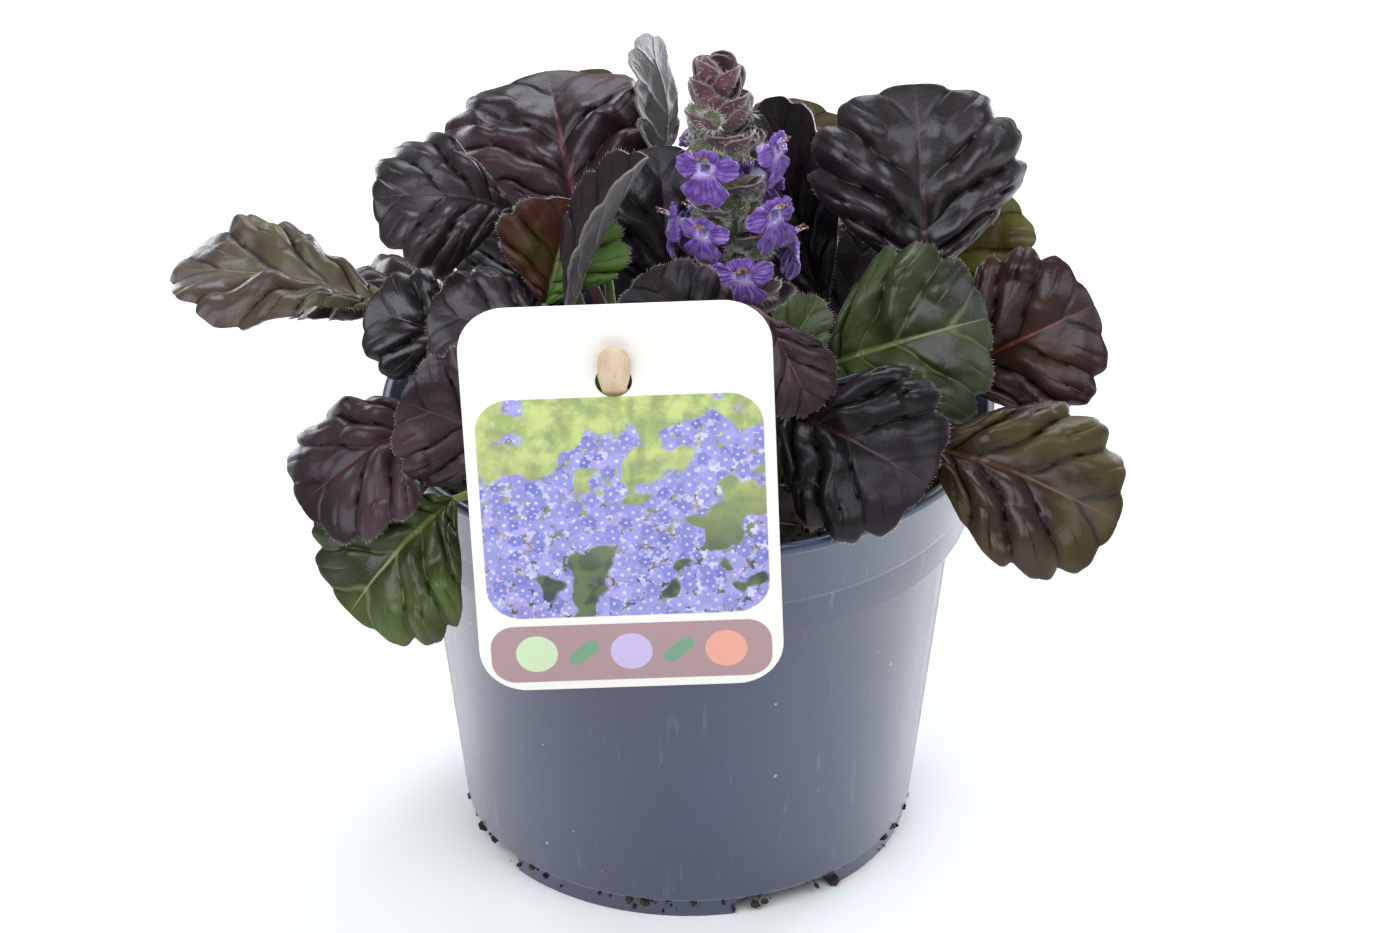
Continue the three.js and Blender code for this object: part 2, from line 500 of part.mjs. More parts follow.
// Soil, with a plain hole for each stalk that stands in it
function soilSolid(stands) {
  const { wall, step, waist, collar, band, lip, floor, shoulder } = POT;
  const inset = wall + SOIL.clearance;
  const bottom = floor.bottom + floor.thickness + GAP;
  const share = (SOIL.top - band.height) / (lip.height - band.height);
  const outline = [
    [0, bottom], [step.radius - inset, bottom],
    [waist.radius - inset, waist.height - shoulder + GAP],
    [collar.radius - inset, collar.height + shoulder + GAP],
    [between([band.radius, lip.radius], share) - inset, SOIL.top],
    [SOIL.crownRadius, SOIL.crown], [0, SOIL.crown],
  ].map(([radius, height]) => new THREE.Vector2(radius, height));
  let soil = solid(new THREE.LatheGeometry(outline, SOIL.sides).rotateX(Math.PI / 2));
  for (const stand of stands) soil = soil.subtract(stand);
  return soil;
}

function soilHole(x, y, radius) {
  const bottom = SOIL.top - ROOT_DEPTH - GAP;
  return solid(column(radius, bottom, SOIL_HOLE.height, SOIL_HOLE.sides).translate(x, y, 0));
}

function stakeSlot() {
  const { width, depth, height, lean, y, z } = STAKE_SLOT;
  return solid(new THREE.BoxGeometry(width, depth, height).rotateX(lean).translate(STAKE.x, y, z));
}

// Label card: a plate with round corners and a round hole, hung upright
function cardGeometry() {
  const { width, height, thickness, corner, swing, segments, middle, hole } = CARD;
  const x = width / 2;
  const y = height / 2;
  const outline = new THREE.Shape();
  outline.moveTo(-x + corner, -y);
  outline.lineTo(x - corner, -y);
  outline.absarc(x - corner, -y + corner, corner, -Math.PI / 2, 0);
  outline.absarc(x - corner, y - corner, corner, 0, Math.PI / 2);
  outline.absarc(-x + corner, y - corner, corner, Math.PI / 2, Math.PI);
  outline.absarc(-x + corner, -y + corner, corner, Math.PI, 1.5 * Math.PI);
  const punched = new THREE.Path();
  punched.absarc(-hole.left, y - hole.belowTop, hole.radius, 0, 2 * Math.PI, true);
  outline.holes.push(punched);
  const card = new THREE.ExtrudeGeometry(outline, {
    depth: thickness, bevelEnabled: false, curveSegments: segments,
  });
  card.translate(0, 0, -thickness / 2).rotateX(Math.PI / 2);
  return card.rotateY(THREE.MathUtils.degToRad(-swing)).translate(middle.x, middle.y, middle.z);
}

// Stake: a flat strip that leans out over the rim and runs up through the card's hole
function stakeGeometry() {
  const { width, thickness, x, steps, neck, head, flare, rounding } = STAKE;
  const path = new THREE.CatmullRomCurve3(STAKE_PATH.map(([y, z]) => new THREE.Vector3(x, y, z)));
  const across = new THREE.Vector3(1, 0, 0);
  const rings = [];
  for (let step = 0; step <= steps; step += 1) {
    const run = step / steps;
    const centre = path.getPointAt(run);
    const tangent = path.getTangentAt(run);
    const facing = new THREE.Vector3(0, tangent.z, -tangent.y);
    const round = Math.sqrt(1 - rounding * Math.max(0, (run - head) / (1 - head)) ** 2);
    const half = (width / 2) * (1 + flare * smooth(neck, head, run)) * round;
    rings.push([[-1, -1], [1, -1], [1, 1], [-1, 1]].map(([side, face]) => centre.clone()
      .addScaledVector(across, side * half)
      .addScaledVector(facing, (face * thickness) / 2)));
  }
  return loft(rings);
}

// A seeded run of draws between 0 and 1
function seededDraws(seed) {
  let state = seed;
  return () => {
    state = (state * LEHMER.factor) % LEHMER.modulus;
    return state / LEHMER.modulus;
  };
}

function stemCentre(height) {
  const share = (height - SPIKE.foot[2]) / (SPIKE.tip[2] - SPIKE.foot[2]);
  return new THREE.Vector3(
    between([SPIKE.foot[0], SPIKE.tip[0]], share ** SPIKE.lean),
    between([SPIKE.foot[1], SPIKE.tip[1]], share),
    height,
  );
}

function stemSolid() {
  const { radius, taper, steps } = SPIKE.stem;
  const rings = [];
  for (let step = 0; step <= steps; step += 1) {
    const centre = stemCentre(between([SPIKE.foot[2], SPIKE.tip[2]], step / steps));
    const size = radius * (1 - (taper * step) / steps);
    rings.push([0, 1, 2, 3].map((corner) => centre.clone().add(new THREE.Vector3(
      size * Math.cos((corner * Math.PI) / 2), size * Math.sin((corner * Math.PI) / 2), 0,
    ))));
  }
  return solid(loft(rings));
}

function placeRadially(geometry, centre, angle, rise, radius) {
  geometry.translate(radius, 0, 0);
  geometry.rotateY(-rise);
  geometry.rotateZ(angle);
  return geometry.translate(centre.x, centre.y, centre.z);
}

function bractSolid(height, angle, share) {
  const { length, width, rise, riseEase, inset } = SPIKE.bract;
  const { ahead, shorter } = SPIKE.crowded;
  const reach = between(length, share) * (nearFloret(height + ahead, angle) ? shorter : 1);
  const blade = bladeGeometry({
    ...SPIKE.bract, base: [0, 0, 0], tip: [reach, 0, 0], face: [0, 0, 1],
    width: between(width, share), roll: 0, flutter: 0, phase: 0, pucker: 0,
  }, SPIKE.bract);
  const tilt = between(rise, share ** riseEase);
  return solid(placeRadially(blade, stemCentre(height), angle, tilt, inset));
}

function calyxSolid(height, angle, rise) {
  const { length, mouth, root, sides, inset } = SPIKE.calyx;
  const cup = new THREE.CylinderGeometry(mouth, root, length, sides).rotateZ(-Math.PI / 2);
  return solid(placeRadially(cup.translate(length / 2, 0, 0), stemCentre(height), angle, rise, inset));
}

// True where an open floret stands, so that bracts there stay short and no bud is placed
function nearFloret(height, angle) {
  return FLORETS.some((floret) => {
    const turn = Math.cos(angle - THREE.MathUtils.degToRad(floret.around));
    return Math.abs(height - floret.height) < SPIKE.crowded.height && turn > SPIKE.crowded.cosine;
  });
}

function spikeSolid() {
  const draw = seededDraws(SPIKE.seed);
  const { pairs, calyx } = SPIKE;
  const bodies = [stemSolid()];
  for (let pair = 0; pair < pairs.count; pair += 1) {
    const share = pair / (pairs.count - 1);
    const height = between([pairs.low, pairs.high], 1 - (1 - share) ** pairs.crowding);
    const turn = Math.PI / 4 + (pair % 2) * (Math.PI / 2);
    for (const side of [0, Math.PI]) {
      const angle = turn + side + pairs.jitter * (draw() - 0.5);
      bodies.push(bractSolid(height, angle, share));
      for (const spread of [-calyx.spread, calyx.spread]) {
        const bud = height + calyx.lift + draw();
        const free = pair < calyx.pairs && !nearFloret(bud, angle + spread);
        if (free) bodies.push(calyxSolid(bud, angle + spread, calyx.rise));
      }
    }
  }
  for (const { height, around, rise } of FLORETS) {
    bodies.push(calyxSolid(height, THREE.MathUtils.degToRad(around), THREE.MathUtils.degToRad(rise)));
  }
  return join(bodies);
}

// Corolla face: a narrow upper lip, two side lobes and a broad, notched lower lip
function corollaShape() {
  const outline = [
    [-1.4, 2.5], [1.4, 2.5], [5.4, 1.8], [5.8, -1.4], [3.4, -2.8],
    [4.6, -6], [2.8, -7.6], [0, -6.8], [-2.8, -7.6], [-4.6, -6], [-3.4, -2.8], [-5.8, -1.4], [-5.4, 1.8],
  ];
  return new THREE.Shape(outline.map(([x, y]) => new THREE.Vector2(x, y)));
}

function floretSolid({ size, height, around, rise }) {
  const face = new THREE.ExtrudeGeometry(corollaShape(), { depth: FLORET.thickness, bevelEnabled: false });
  const places = face.attributes.position;
  for (let at = 0; at < places.count; at += 1) {
    const away = Math.hypot(places.getX(at), places.getY(at));
    places.setZ(at, places.getZ(at) - FLORET.curl * away ** 2);
  }
  face.translate(0, 0, FLORET.tube - FLORET.thickness);
  face.rotateX(Math.PI / 2).rotateZ(Math.PI / 2);
  const tube = new THREE.CylinderGeometry(FLORET.throat, FLORET.root, FLORET.tube, FLORET.sides);
  tube.rotateZ(-Math.PI / 2).translate(FLORET.tube / 2, 0, 0);
  const bloom = solid(tube.scale(size, size, size)).add(solid(face.scale(size, size, size)));
  const stand = SPIKE.calyx.inset + SPIKE.calyx.length + GAP;
  const [turn, tilt] = [around, rise].map(THREE.MathUtils.degToRad);
  return placeRadially(geometryOf(bloom), stemCentre(height), turn, tilt, stand);
}

// The assembly
const FINISHES = {
  pot: finish(0x5a6076, 0.5),
  soil: finish(0x2b221d, 0.95),
  card: finish(0xf2f0ec, 0.45),
  stake: finish(0xc9ab84, 0.7),
  spike: finish(0x5c4a4c, 0.7),
  floret: finish(0x6a4bb8, 0.6),
};

const plant = new THREE.Group();
const stands = LEAVES.map((leaf) => soilHole(...leaf.foot, leaf.stalk + PETIOLE.gapInSoil));
stands.push(soilHole(SPIKE.foot[0], SPIKE.foot[1], SPIKE.stem.radius + SPIKE.stem.gapInSoil));
stands.push(stakeSlot());

plant.add(mesh('pot', geometryOf(potSolid()), FINISHES.pot));
plant.add(mesh('soil', geometryOf(soilSolid(stands)), FINISHES.soil));
plant.add(mesh('label_card', cardGeometry(), FINISHES.card));
plant.add(mesh('label_stake', stakeGeometry(), FINISHES.stake));
plant.add(mesh('flower_spike', geometryOf(spikeSolid()), FINISHES.spike));
FLORETS.forEach((floret, at) => {
  plant.add(mesh(`floret_${at + 1}`, floretSolid(floret), FINISHES.floret));
});
for (const leaf of LEAVES) plant.add(mesh(leaf.name, geometryOf(leafSolid(leaf)), finish(leaf.color, 0.4)));

export default plant;
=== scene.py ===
"""A potted bugleweed, dressed: puckered purple-black leaves, one flower spike, a round nursery
pot, and a label card that hangs on a wooden stake.

Sizes are millimetres and become metres where a vertex is placed. X is to the right, -Y to the
front and Z up. The origin is under the middle of the pot.
"""

import logging
import random
from collections.abc import Callable, Iterable, Iterator, Sequence
from dataclasses import dataclass, field
from enum import Enum
from math import copysign, cos, exp, floor, hypot, pi, radians, sin, sqrt, tau

import bmesh
import bpy
from mathutils import Matrix, Vector, noise


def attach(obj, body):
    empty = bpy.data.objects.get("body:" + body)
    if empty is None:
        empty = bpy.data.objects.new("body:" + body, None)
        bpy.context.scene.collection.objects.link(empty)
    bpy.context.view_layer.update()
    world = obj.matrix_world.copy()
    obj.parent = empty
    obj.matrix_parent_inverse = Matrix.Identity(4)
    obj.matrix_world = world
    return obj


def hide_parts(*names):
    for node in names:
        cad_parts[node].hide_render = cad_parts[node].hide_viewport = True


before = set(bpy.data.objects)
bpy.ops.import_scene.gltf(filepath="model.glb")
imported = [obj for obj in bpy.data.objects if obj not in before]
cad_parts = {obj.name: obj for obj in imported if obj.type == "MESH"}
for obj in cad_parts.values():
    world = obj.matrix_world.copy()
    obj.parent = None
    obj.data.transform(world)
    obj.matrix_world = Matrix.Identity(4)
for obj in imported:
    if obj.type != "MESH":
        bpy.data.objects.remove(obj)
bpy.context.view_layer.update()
LOG = logging.getLogger("bugleweed")

MM = 0.001
BODY = "root"
MERGE = 2e-6
CLOSE_ENDS = 0.55
WANDER = 0.026
WANDER_SIDE = 9.0
WANDER_RUN = 14.0
WANDER_START = 4.0
BRACT_VEINS = 3.5
MIDDLE_SHARE = (0.35, 0.65)
PETALS = 5

Pair = tuple[float, float]
Point = tuple[float, float, float]
Color = tuple[float, float, float, float]
Place = Callable[[float, float], Vector]
Form = bmesh.types.BMesh
Material = bpy.types.Material
Socket = bpy.types.NodeSocket


def ink(code: int) -> Color:
    """Turns a display colour such as 0x6A48B8 into the linear colour that shaders take.

    Args:
        code: red, green and blue, two hexadecimal digits each.

    Returns:
        The colour with an alpha of 1.
    """
    shares = [((code >> shift) & 255) / 255 for shift in (16, 8, 0)]
    linear = [c / 12.92 if c <= 0.04045 else ((c + 0.055) / 1.055) ** 2.4 for c in shares]
    return (linear[0], linear[1], linear[2], 1.0)


def smooth(low: float, high: float, value: float) -> float:
    """Rises from 0 at low to 1 at high, level at both ends."""
    share = min(1.0, max(0.0, (value - low) / (high - low)))
    return share * share * (3 - 2 * share)


def between(low: float, high: float, share: float) -> float:
    """The value a share of the way from low to high."""
    return low + (high - low) * share


def lit(color: Color, factor: float) -> Color:
    """A colour so many times as bright, and opaque."""
    return tuple(min(1.0, share * factor) for share in color[:3]) + (1.0,)


class Graph:
    """Adds nodes to one node tree and links them.

    Args:
        tree: the tree of a material or of a node group.
    """

    def __init__(self, tree: bpy.types.NodeTree) -> None:
        """Keeps the tree."""
        self.tree = tree

    def add(self, kind: str, feeds: dict | None = None, **settings: object) -> bpy.types.Node:
        """Adds a shader node.

        Args:
            kind: the node's type name without its ShaderNode prefix.
            feeds: input name or number to a value or another node's output.
            settings: the node's own properties.

        Returns:
            The node.
        """
        node = self.tree.nodes.new("ShaderNode" + kind)
        for name, value in settings.items():
            setattr(node, name, value)
        self.feed(node, feeds or {})
        return node

    def feed(self, node: bpy.types.Node, feeds: dict) -> None:
        """Links outputs into a node's inputs, or sets plain values on them.

        Args:
            node: the node.
            feeds: input name or number to a value or another node's output.
        """
        for key, value in feeds.items():
            if isinstance(value, bpy.types.NodeSocket):
                self.tree.links.new(value, node.inputs[key])
            else:
                node.inputs[key].default_value = value

    def math(self, operation: str, *values: object, clamp: bool = False) -> Socket:
        """Adds a Math node and returns its result."""
        feeds = dict(enumerate(values))
        return self.add("Math", feeds, operation=operation, use_clamp=clamp).outputs[0]

    def times(self, first: object, second: object, clamp: bool = False) -> Socket:
        """The product of two values."""
        return self.math("MULTIPLY", first, second, clamp=clamp)

    def plus(self, first: object, second: object) -> Socket:
        """The sum of two values."""
        return self.math("ADD", first, second)

    def minus(self, first: object, second: object, clamp: bool = False) -> Socket:
        """The first value less the second."""
        return self.math("SUBTRACT", first, second, clamp=clamp)

    def peak(self, away: Socket, width: object) -> Socket:
        """1 where the distance is nothing, falling to 0 at the width."""
        return self.minus(1.0, self.math("DIVIDE", away, width), clamp=True)

    def mix(self, factor: object, low: object, high: object) -> Socket:
        """Mixes two colours and returns the result."""
        feeds = {0: factor, 6: low, 7: high}
        return self.add("Mix", feeds, data_type="RGBA").outputs[2]

    def tint(self, color: object, mask: Socket, share: float, over: object) -> Socket:
        """Lays a colour over another where the mask is, by no more than the share."""
        return self.mix(self.times(mask, share), color, over)

    def span(self, value: object, low: float, high: float, start: float = 0.0, end: float = 1.0) -> Socket:
        """Maps low..high smoothly to start..end, and holds the ends outside it."""
        feeds = {"Value": value, "From Min": low, "From Max": high, "To Min": start, "To Max": end}
        return self.add("MapRange", feeds, interpolation_type="SMOOTHSTEP").outputs["Result"]

    def noise(self, vector: Socket, scale: float, detail: float = 3.0, rough: float = 0.55) -> Socket:
        """Adds fractal noise in three dimensions and returns its value."""
        feeds = {"Vector": vector, "Scale": scale, "Detail": detail, "Roughness": rough}
        return self.add("TexNoise", feeds).outputs["Fac"]

    def axes(self, vector: Socket) -> tuple[Socket, Socket, Socket]:
        """Splits a vector into x, y and z."""
        node = self.add("SeparateXYZ", {0: vector})
        return node.outputs[0], node.outputs[1], node.outputs[2]

    def spot(self, kind: str = "Object") -> Socket:
        """The place on the piece, in the object's own coordinates or on its UV map."""
        return self.add("TexCoord").outputs[kind]

    def place(self, vector: Socket, location: Point = (0, 0, 0), turn: Point = (0, 0, 0),
              scale: Point = (1, 1, 1), kind: str = "POINT") -> Socket:
        """Moves, turns and scales a pattern's coordinates."""
        feeds = {"Vector": vector, "Location": location, "Rotation": turn, "Scale": scale}
        return self.add("Mapping", feeds, vector_type=kind).outputs[0]

    def bump(self, height: Socket, depth: float, strength: float = 1.0) -> Socket:
        """Turns a height into a normal, for relief so many millimetres deep."""
        feeds = {"Height": height, "Distance": depth * MM, "Strength": strength}
        return self.add("Bump", feeds).outputs[0]

    def mottle(self, vector: Socket, broad: float, fine: float) -> Iterable[Socket]:
        """Broad and fine noise, each at its own scale."""
        feeds = {"Vector": vector, "Broad Scale": broad, "Fine Scale": fine}
        return self.effect("mottle", feeds).outputs

    def effect(self, name: str, feeds: dict) -> bpy.types.Node:
        """Places one of the shared effects in this tree.

        Args:
            name: the effect's name.
            feeds: input name to a value or another node's output.

        Returns:
            The node, whose outputs have the effect's own names.
        """
        node = self.add("Group")
        node.node_tree = bpy.data.node_groups[name]
        self.feed(node, feeds)
        return node


class Effect:
    """A shader node group with named inputs and outputs, shared by several materials.

    Args:
        name: the group's name.
        inputs: input name to its default, a number or a vector.
        outputs: output names, all plain values.
    """

    def __init__(self, name: str, inputs: dict[str, object], outputs: Iterable[str]) -> None:
        """Makes the group's tree and its sockets."""
        tree = bpy.data.node_groups.new(name, "ShaderNodeTree")
        for title, default in inputs.items():
            kind = "NodeSocketFloat" if isinstance(default, float) else "NodeSocketVector"
            tree.interface.new_socket(name=title, in_out="INPUT", socket_type=kind).default_value = default
        for title in outputs:
            tree.interface.new_socket(name=title, in_out="OUTPUT", socket_type="NodeSocketFloat")
        self.graph = Graph(tree)
        self.inputs = tree.nodes.new("NodeGroupInput").outputs
        self.end = tree.nodes.new("NodeGroupOutput")

    def give(self, **values: Socket) -> None:
        """Links values to the outputs of the same names."""
        self.graph.feed(self.end, values)


def make_effects() -> None:
    """Builds the shared effects: venation, mottle, specks, rounded panels and blossoms."""
    venation_effect()
    mottle_effect()
    speck_effect()
    panel_effect()
    blossom_effect()


def venation_effect() -> None:
    """Side veins, their forks and the midrib, from a blade's own UV map, with the valleys that take painted
    shade.
    """
    effect = Effect("venation", {"UV": (0, 0, 0), "Veins": 5.5}, ["Vein", "Rib", "Valley", "Edge"])
    g = effect.graph
    along, across, _ = g.axes(effect.inputs["UV"])
    side = g.math("ABSOLUTE", g.math("MULTIPLY_ADD", across, 2.0, -1.0))
    run = g.minus(along, g.times(g.math("SINE", g.times(along, tau)), CLOSE_ENDS / tau))
    swing = g.math("SINE", g.plus(g.times(side, WANDER_SIDE), g.times(run, WANDER_RUN)))
    still = g.times(g.times(side, WANDER_START, clamp=True), g.minus(1.0, g.times(side, side)))
    still = g.times(still, g.minus(1.0, g.times(run, run)))
    run = g.plus(run, g.times(g.times(swing, still), WANDER))
    turn = g.times(g.times(run, effect.inputs["Veins"]), pi)
    sine, cosine = (g.math("ABSOLUTE", g.math(wave, turn)) for wave in ("SINE", "COSINE"))
    primary = g.peak(sine, g.span(side, 0.0, 1.0, 0.32, 0.14))
    forked = g.times(g.peak(cosine, 0.1), g.span(side, 0.4, 0.62, 0.0, 0.6))
    fade = g.span(side, 0.75, 1.0, 1.0, 0.2)
    effect.give(Vein=g.times(g.math("MAXIMUM", primary, forked), fade),
                Rib=g.span(side, 0.015, 0.05, 1.0, 0.0), Valley=g.span(sine, 0.0, 0.55, 1.0, 0.0),
                Edge=g.span(side, 0.955, 1.0))


def mottle_effect() -> None:
    """Broad and fine noise in the object's own coordinates, for uneven colour and gloss."""
    sizes = {"Vector": (0, 0, 0), "Broad Scale": 60.0, "Fine Scale": 900.0}
    effect = Effect("mottle", sizes, ["Broad", "Fine"])
    for name in ("Broad", "Fine"):
        feeds = {"Vector": effect.inputs["Vector"], "Scale": effect.inputs[name + " Scale"], "Detail": 4.0}
        effect.give(**{name: effect.graph.add("TexNoise", feeds).outputs["Fac"]})


def speck_effect() -> None:
    """Small dots of dust, few and of uneven size."""
    effect = Effect("specks", {"Vector": (0, 0, 0), "Scale": 300.0, "Size": 0.12, "Share": 0.5}, ["Mask"])
    g = effect.graph
    cells = g.add("TexVoronoi", {name: effect.inputs[name] for name in ("Vector", "Scale")})
    lot, growth, _ = g.axes(cells.outputs["Color"])
    dot = g.math("LESS_THAN", cells.outputs["Distance"], g.times(effect.inputs["Size"], growth))
    effect.give(Mask=g.times(dot, g.math("LESS_THAN", lot, effect.inputs["Share"])))


def panel_effect() -> None:
    """A rounded rectangle on a sheet whose width is x and whose height is z, in millimetres."""
    sizes = {"Vector": (0, 0, 0), "X": 0.0, "Z": 0.0, "Half Width": 10.0, "Half Height": 10.0, "Corner": 3.0}
    effect = Effect("rounded_panel", sizes, ["Mask"])
    g, soft = effect.graph, 0.12
    x, _, z = g.axes(effect.inputs["Vector"])
    outside = []
    for value, centre, half in ((x, "X", "Half Width"), (z, "Z", "Half Height")):
        away = g.math("ABSOLUTE", g.minus(value, effect.inputs[centre]))
        flat = g.minus(effect.inputs[half], effect.inputs["Corner"])
        past = g.math("MAXIMUM", g.minus(away, flat), 0.0)
        outside.append(g.times(past, past))
    reach = g.math("SQRT", g.plus(*outside))
    effect.give(Mask=g.span(g.minus(reach, effect.inputs["Corner"]), -soft, soft, 1.0, 0.0))


def blossom_effect() -> None:
    """A scatter of round, five-petalled blossoms on the x-z plane."""
    effect = Effect("blossoms", {"Vector": (0, 0, 0), "Scale": 0.2, "Size": 2.4}, ["Petal", "Heart", "Tint"])
    g = effect.graph
    x, _, z = g.axes(effect.inputs["Vector"])
    flat = g.add("CombineXYZ", {0: x, 1: z}).outputs[0]
    feeds = {"Vector": flat, "Scale": effect.inputs["Scale"], "Randomness": 0.85}
    cells = g.add("TexVoronoi", feeds, voronoi_dimensions="2D")
    offset = g.add("VectorMath", {0: flat, 1: cells.outputs["Position"]}, operation="SUBTRACT").outputs[0]
    dx, dz, _ = g.axes(offset)
    tint, spin, _ = g.axes(cells.outputs["Color"])
    half_turns = PETALS / 2
    angle = g.math("MULTIPLY_ADD", g.math("ARCTAN2", dz, dx), half_turns, g.times(spin, tau))
    wave = g.math("MULTIPLY_ADD", g.math("ABSOLUTE", g.math("COSINE", angle)), 0.42, 0.58)
    size = g.times(g.math("MULTIPLY_ADD", tint, 0.45, 0.7), effect.inputs["Size"])
    away = g.add("VectorMath", {0: offset}, operation="LENGTH").outputs["Value"]
    effect.give(Petal=g.span(g.math("DIVIDE", away, g.times(wave, size)), 0.9, 1.05, 1.0, 0.0),
                Heart=g.span(g.math("DIVIDE", away, size), 0.1, 0.26, 1.0, 0.0), Tint=tint)


def new_material(name: str) -> tuple[Material, Graph, bpy.types.Node]:
    """Starts a material.

    Args:
        name: its name.

    Returns:
        The material, its graph and its surface shader.
    """
    material = bpy.data.materials.new(name)
    material.use_nodes = True
    return material, Graph(material.node_tree), material.node_tree.nodes["Principled BSDF"]


@dataclass(frozen=True)
class Finish:
    """A finish whose colour wanders between two tones, with fine relief.

    Args:
        name: the material's name.
        deep: display colour of the first tone.
        pale: display colour of the second tone.
        rough: lowest and highest roughness.
        broad: scale of the wandering colour, per metre.
        fine: scale of the relief, per metre.
        relief: depth of the relief, in millimetres.
        sheen: weight of the soft sheen at grazing angles.
        sheen_rough: how far the sheen spreads from the grazing angles.
        coat: weight of a glossy coat.
        grain: how the pattern is stretched along x, y and z.
        bright: how many times as bright the second tone is made.
    """

    name: str
    deep: int
    pale: int
    rough: Pair = (0.5, 0.7)
    broad: float = 80.0
    fine: float = 900.0
    relief: float = 0.1
    sheen: float = 0.0
    sheen_rough: float = 0.45
    coat: float = 0.0
    grain: Point = (1, 1, 1)
    bright: float = 1.0

    COAT_ROUGH = 0.2

    def build(self) -> Material:
        """Makes the material, once.

        Returns:
            The material.
        """
        if self.name in bpy.data.materials:
            return bpy.data.materials[self.name]
        material, g, shader = new_material(self.name)
        where = g.place(g.spot(), scale=self.grain)
        broad, fine = g.mottle(where, self.broad, self.fine)
        color = g.mix(g.span(broad, *MIDDLE_SHARE), ink(self.deep), lit(ink(self.pale), self.bright))
        g.feed(shader, {"Base Color": self.dress(g, where, color), "Normal": g.bump(fine, self.relief),
                        "Roughness": g.span(fine, 0.3, 0.7, *self.rough), "Sheen Weight": self.sheen,
                        "Sheen Roughness": self.sheen_rough, "Coat Weight": self.coat,
                        "Coat Roughness": self.COAT_ROUGH})
        return material

    def dress(self, g: Graph, where: Socket, color: Socket) -> Socket:
        """Lets a finish of its own add to the colour."""
        return color


